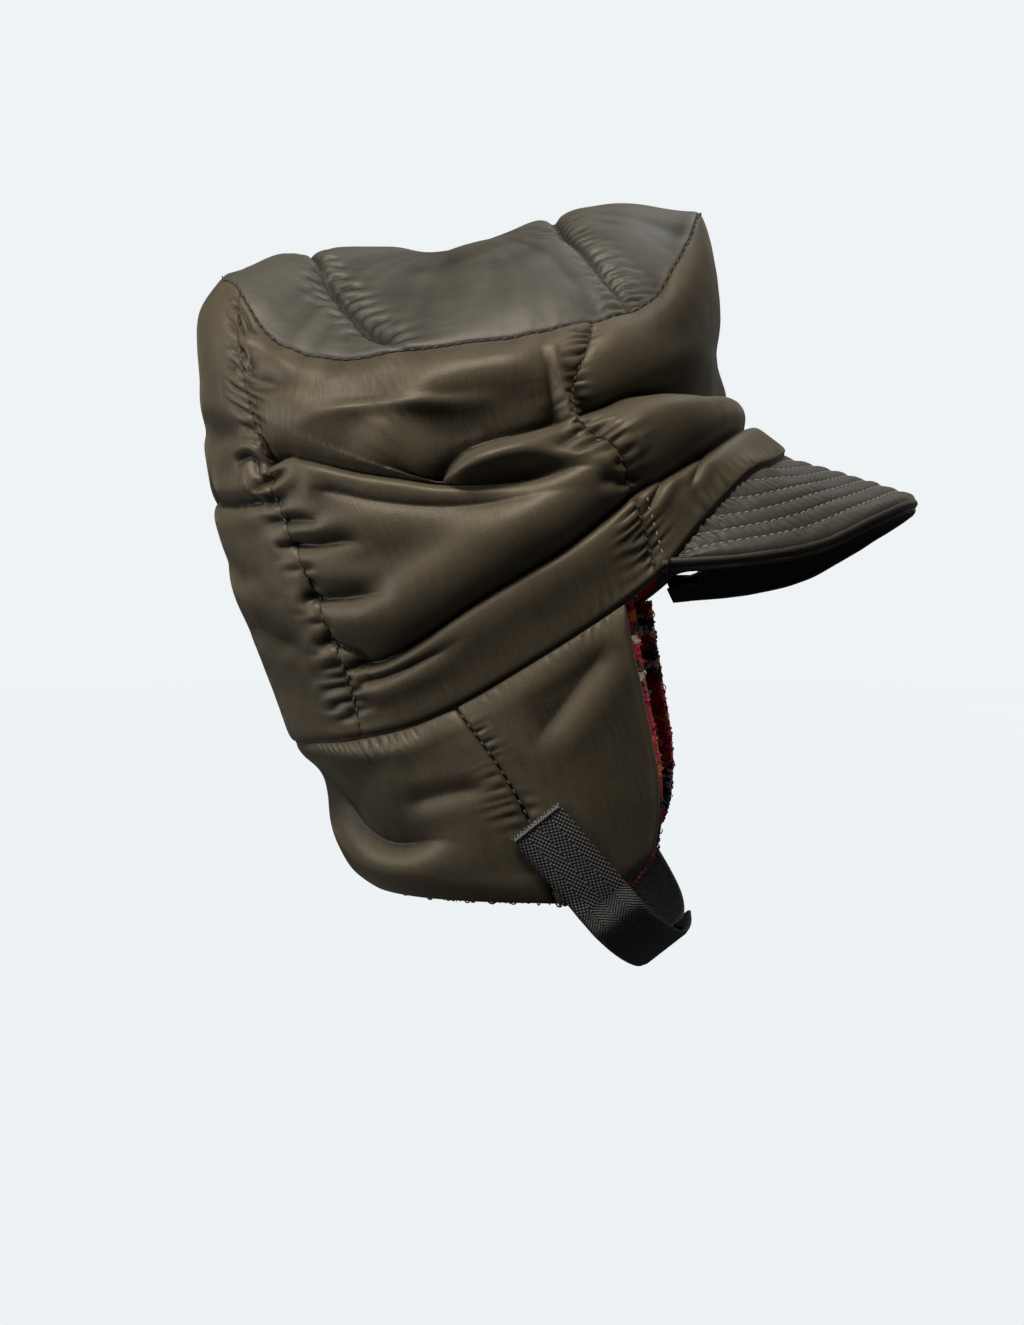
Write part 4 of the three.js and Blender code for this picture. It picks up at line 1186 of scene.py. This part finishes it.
full, patchAt = strap["length"], strap["length"] - strap["patchLength"] - 2
lift = strap["thick"] / 2 + 0.3 + strap["patchThick"] / 2
for side, word in ((-1, "right"), (1, "left")):
    half = ribbon(f"strap_{word}_webbing", side, 0, full, strap["width"], strap["thick"], 0, 380, 48, webbing)
    finished(half, ["strap_" + word])
for side, word in ((-1, "hook"), (1, "loop")):
    size = strap["patchWidth"], strap["patchThick"]
    patch = ribbon(word + "_tape", side, patchAt, full - 2, *size, -side * lift, 72, 40, hookTape, 0.5)
    finished(patch, ["fastener_" + word])
frames = (ribbonFrame(side, 1.4, np.linspace(-0.94, 0.94, 60)) for side in (-1, 1))
ends = [(point, -inward) for point, inward in frames]
finished(stitches("strap_end_stitches", ends, stitching["strapEnd"], webbingThread))
print("strap made")


# Floor, light and camera

studio = {
    "floor": -0.153, "paper": (0.03, 0.031, 0.032), "grain": (0.025, 0.026, 0.027), "glow": (0.853, 0.888, 0.907),
    "radius": 2.6, "bend": 0.9, "height": 4,
}


def paperStage():
    look = Look("pale paper")
    grain = look.noise(look.place(), 6) * 0.3
    paper = look.done(Base_Color=look.blend(grain, studio["paper"], studio["grain"]), Roughness=0.95,
                      Specular_IOR_Level=0, Emission_Color=(*studio["glow"], 1), Emission_Strength=1)
    sides, bend = 64, studio["bend"]
    rise = np.linspace(0, np.pi / 2, 16)
    away = np.append(studio["radius"] + bend * np.sin(rise), studio["radius"] + bend)[:, None]
    up = np.append(bend - bend * np.cos(rise), studio["height"])[:, None]
    turn = np.linspace(0, 2 * np.pi, sides + 1)[:-1]
    points = np.stack(np.broadcast_arrays(away * np.cos(turn), away * np.sin(turn), studio["floor"] + up), -1)
    faces = [range(sides)] + tubeFaces(len(away), sides)[:-2]
    piece = makeMesh("paper_sweep", points.reshape(-1, 3) / mm, faces, paper)
    piece.visible_diffuse = piece.visible_glossy = False  # so that it lights nothing


# Its focal length and its turn to the left are in pixels of the photograph, which is so many pixels high
camera = {"distance": 0.765, "focal": 1800, "azimuth": -84, "leftTurn": 28, "pitch": 2, "sensor": 36, "pixels": 1325}


def addCamera():
    azimuth = math.radians(camera["azimuth"])
    centre = Vector((math.sin(azimuth), -math.cos(azimuth), 0)) * camera["distance"]
    turn = math.atan2(camera["leftTurn"], camera["focal"])
    ahead = Matrix.Rotation(turn, 3, "Z") @ (-centre.normalized())
    pitch = math.radians(camera["pitch"])
    ahead = ahead * math.cos(pitch) - Vector((0, 0, math.sin(pitch)))
    data = bpy.data.cameras.new("view")
    data.lens = camera["focal"] * camera["sensor"] / camera["pixels"]
    data.sensor_width = data.sensor_height = camera["sensor"]
    data.clip_end = 30
    seen = added("view", data)
    seen.rotation_euler = ahead.to_track_quat("-Z", "Y").to_euler()
    seen.location = centre
    bpy.context.scene.camera = seen


lamps = table("name spot aim size power tint", [
    ("key", (-1, 0.25, 1.5), (0, 0, 0.05), (0.6, 0.45), 42, (1, 0.92, 0.82)),
    ("sky", (0.6, -0.5, 1.5), (0, 0, 0.1), (1.1, 1.1), 8.5, (0.92, 0.96, 1)),
    ("rear fill", (-0.85, 1.7, 0.35), (0, 0.05, 0.02), (1.1, 1.1), 22, (0.97, 0.98, 1)),
    ("front fill", (-0.9, -1.6, 0.3), (0, -0.05, -0.05), (0.8, 0.8), 1.5, (0.97, 0.98, 1)),
    ("left fill", (1.6, -0.9, 0.4), (0, 0, 0), (1.2, 1.2), 15, (0.95, 0.97, 1)),
])


def addLight(name, spot, aim, size, power, tint):
    data = bpy.data.lights.new(name, "AREA")
    data.shape, data.size, data.size_y = "RECTANGLE", *size
    data.energy, data.color = power, tint
    lamp = added(name, data)
    lamp.location = spot
    lamp.rotation_euler = (Vector(aim) - Vector(spot)).to_track_quat("-Z", "Y").to_euler()
    return lamp


paperStage()
addCamera()
leftFill = [addLight(**lamp) for lamp in lamps][-1]
leftFill.visible_glossy = False  # no rim of light along the front in the photograph's view
world = bpy.data.worlds.new("room")
world.use_nodes = True
background = world.node_tree.nodes["Background"].inputs
background["Color"].default_value, background["Strength"].default_value = (0.92, 0.95, 1, 1), 0.05
bpy.context.scene.world = world
bpy.context.scene.view_settings.view_transform = "Standard"
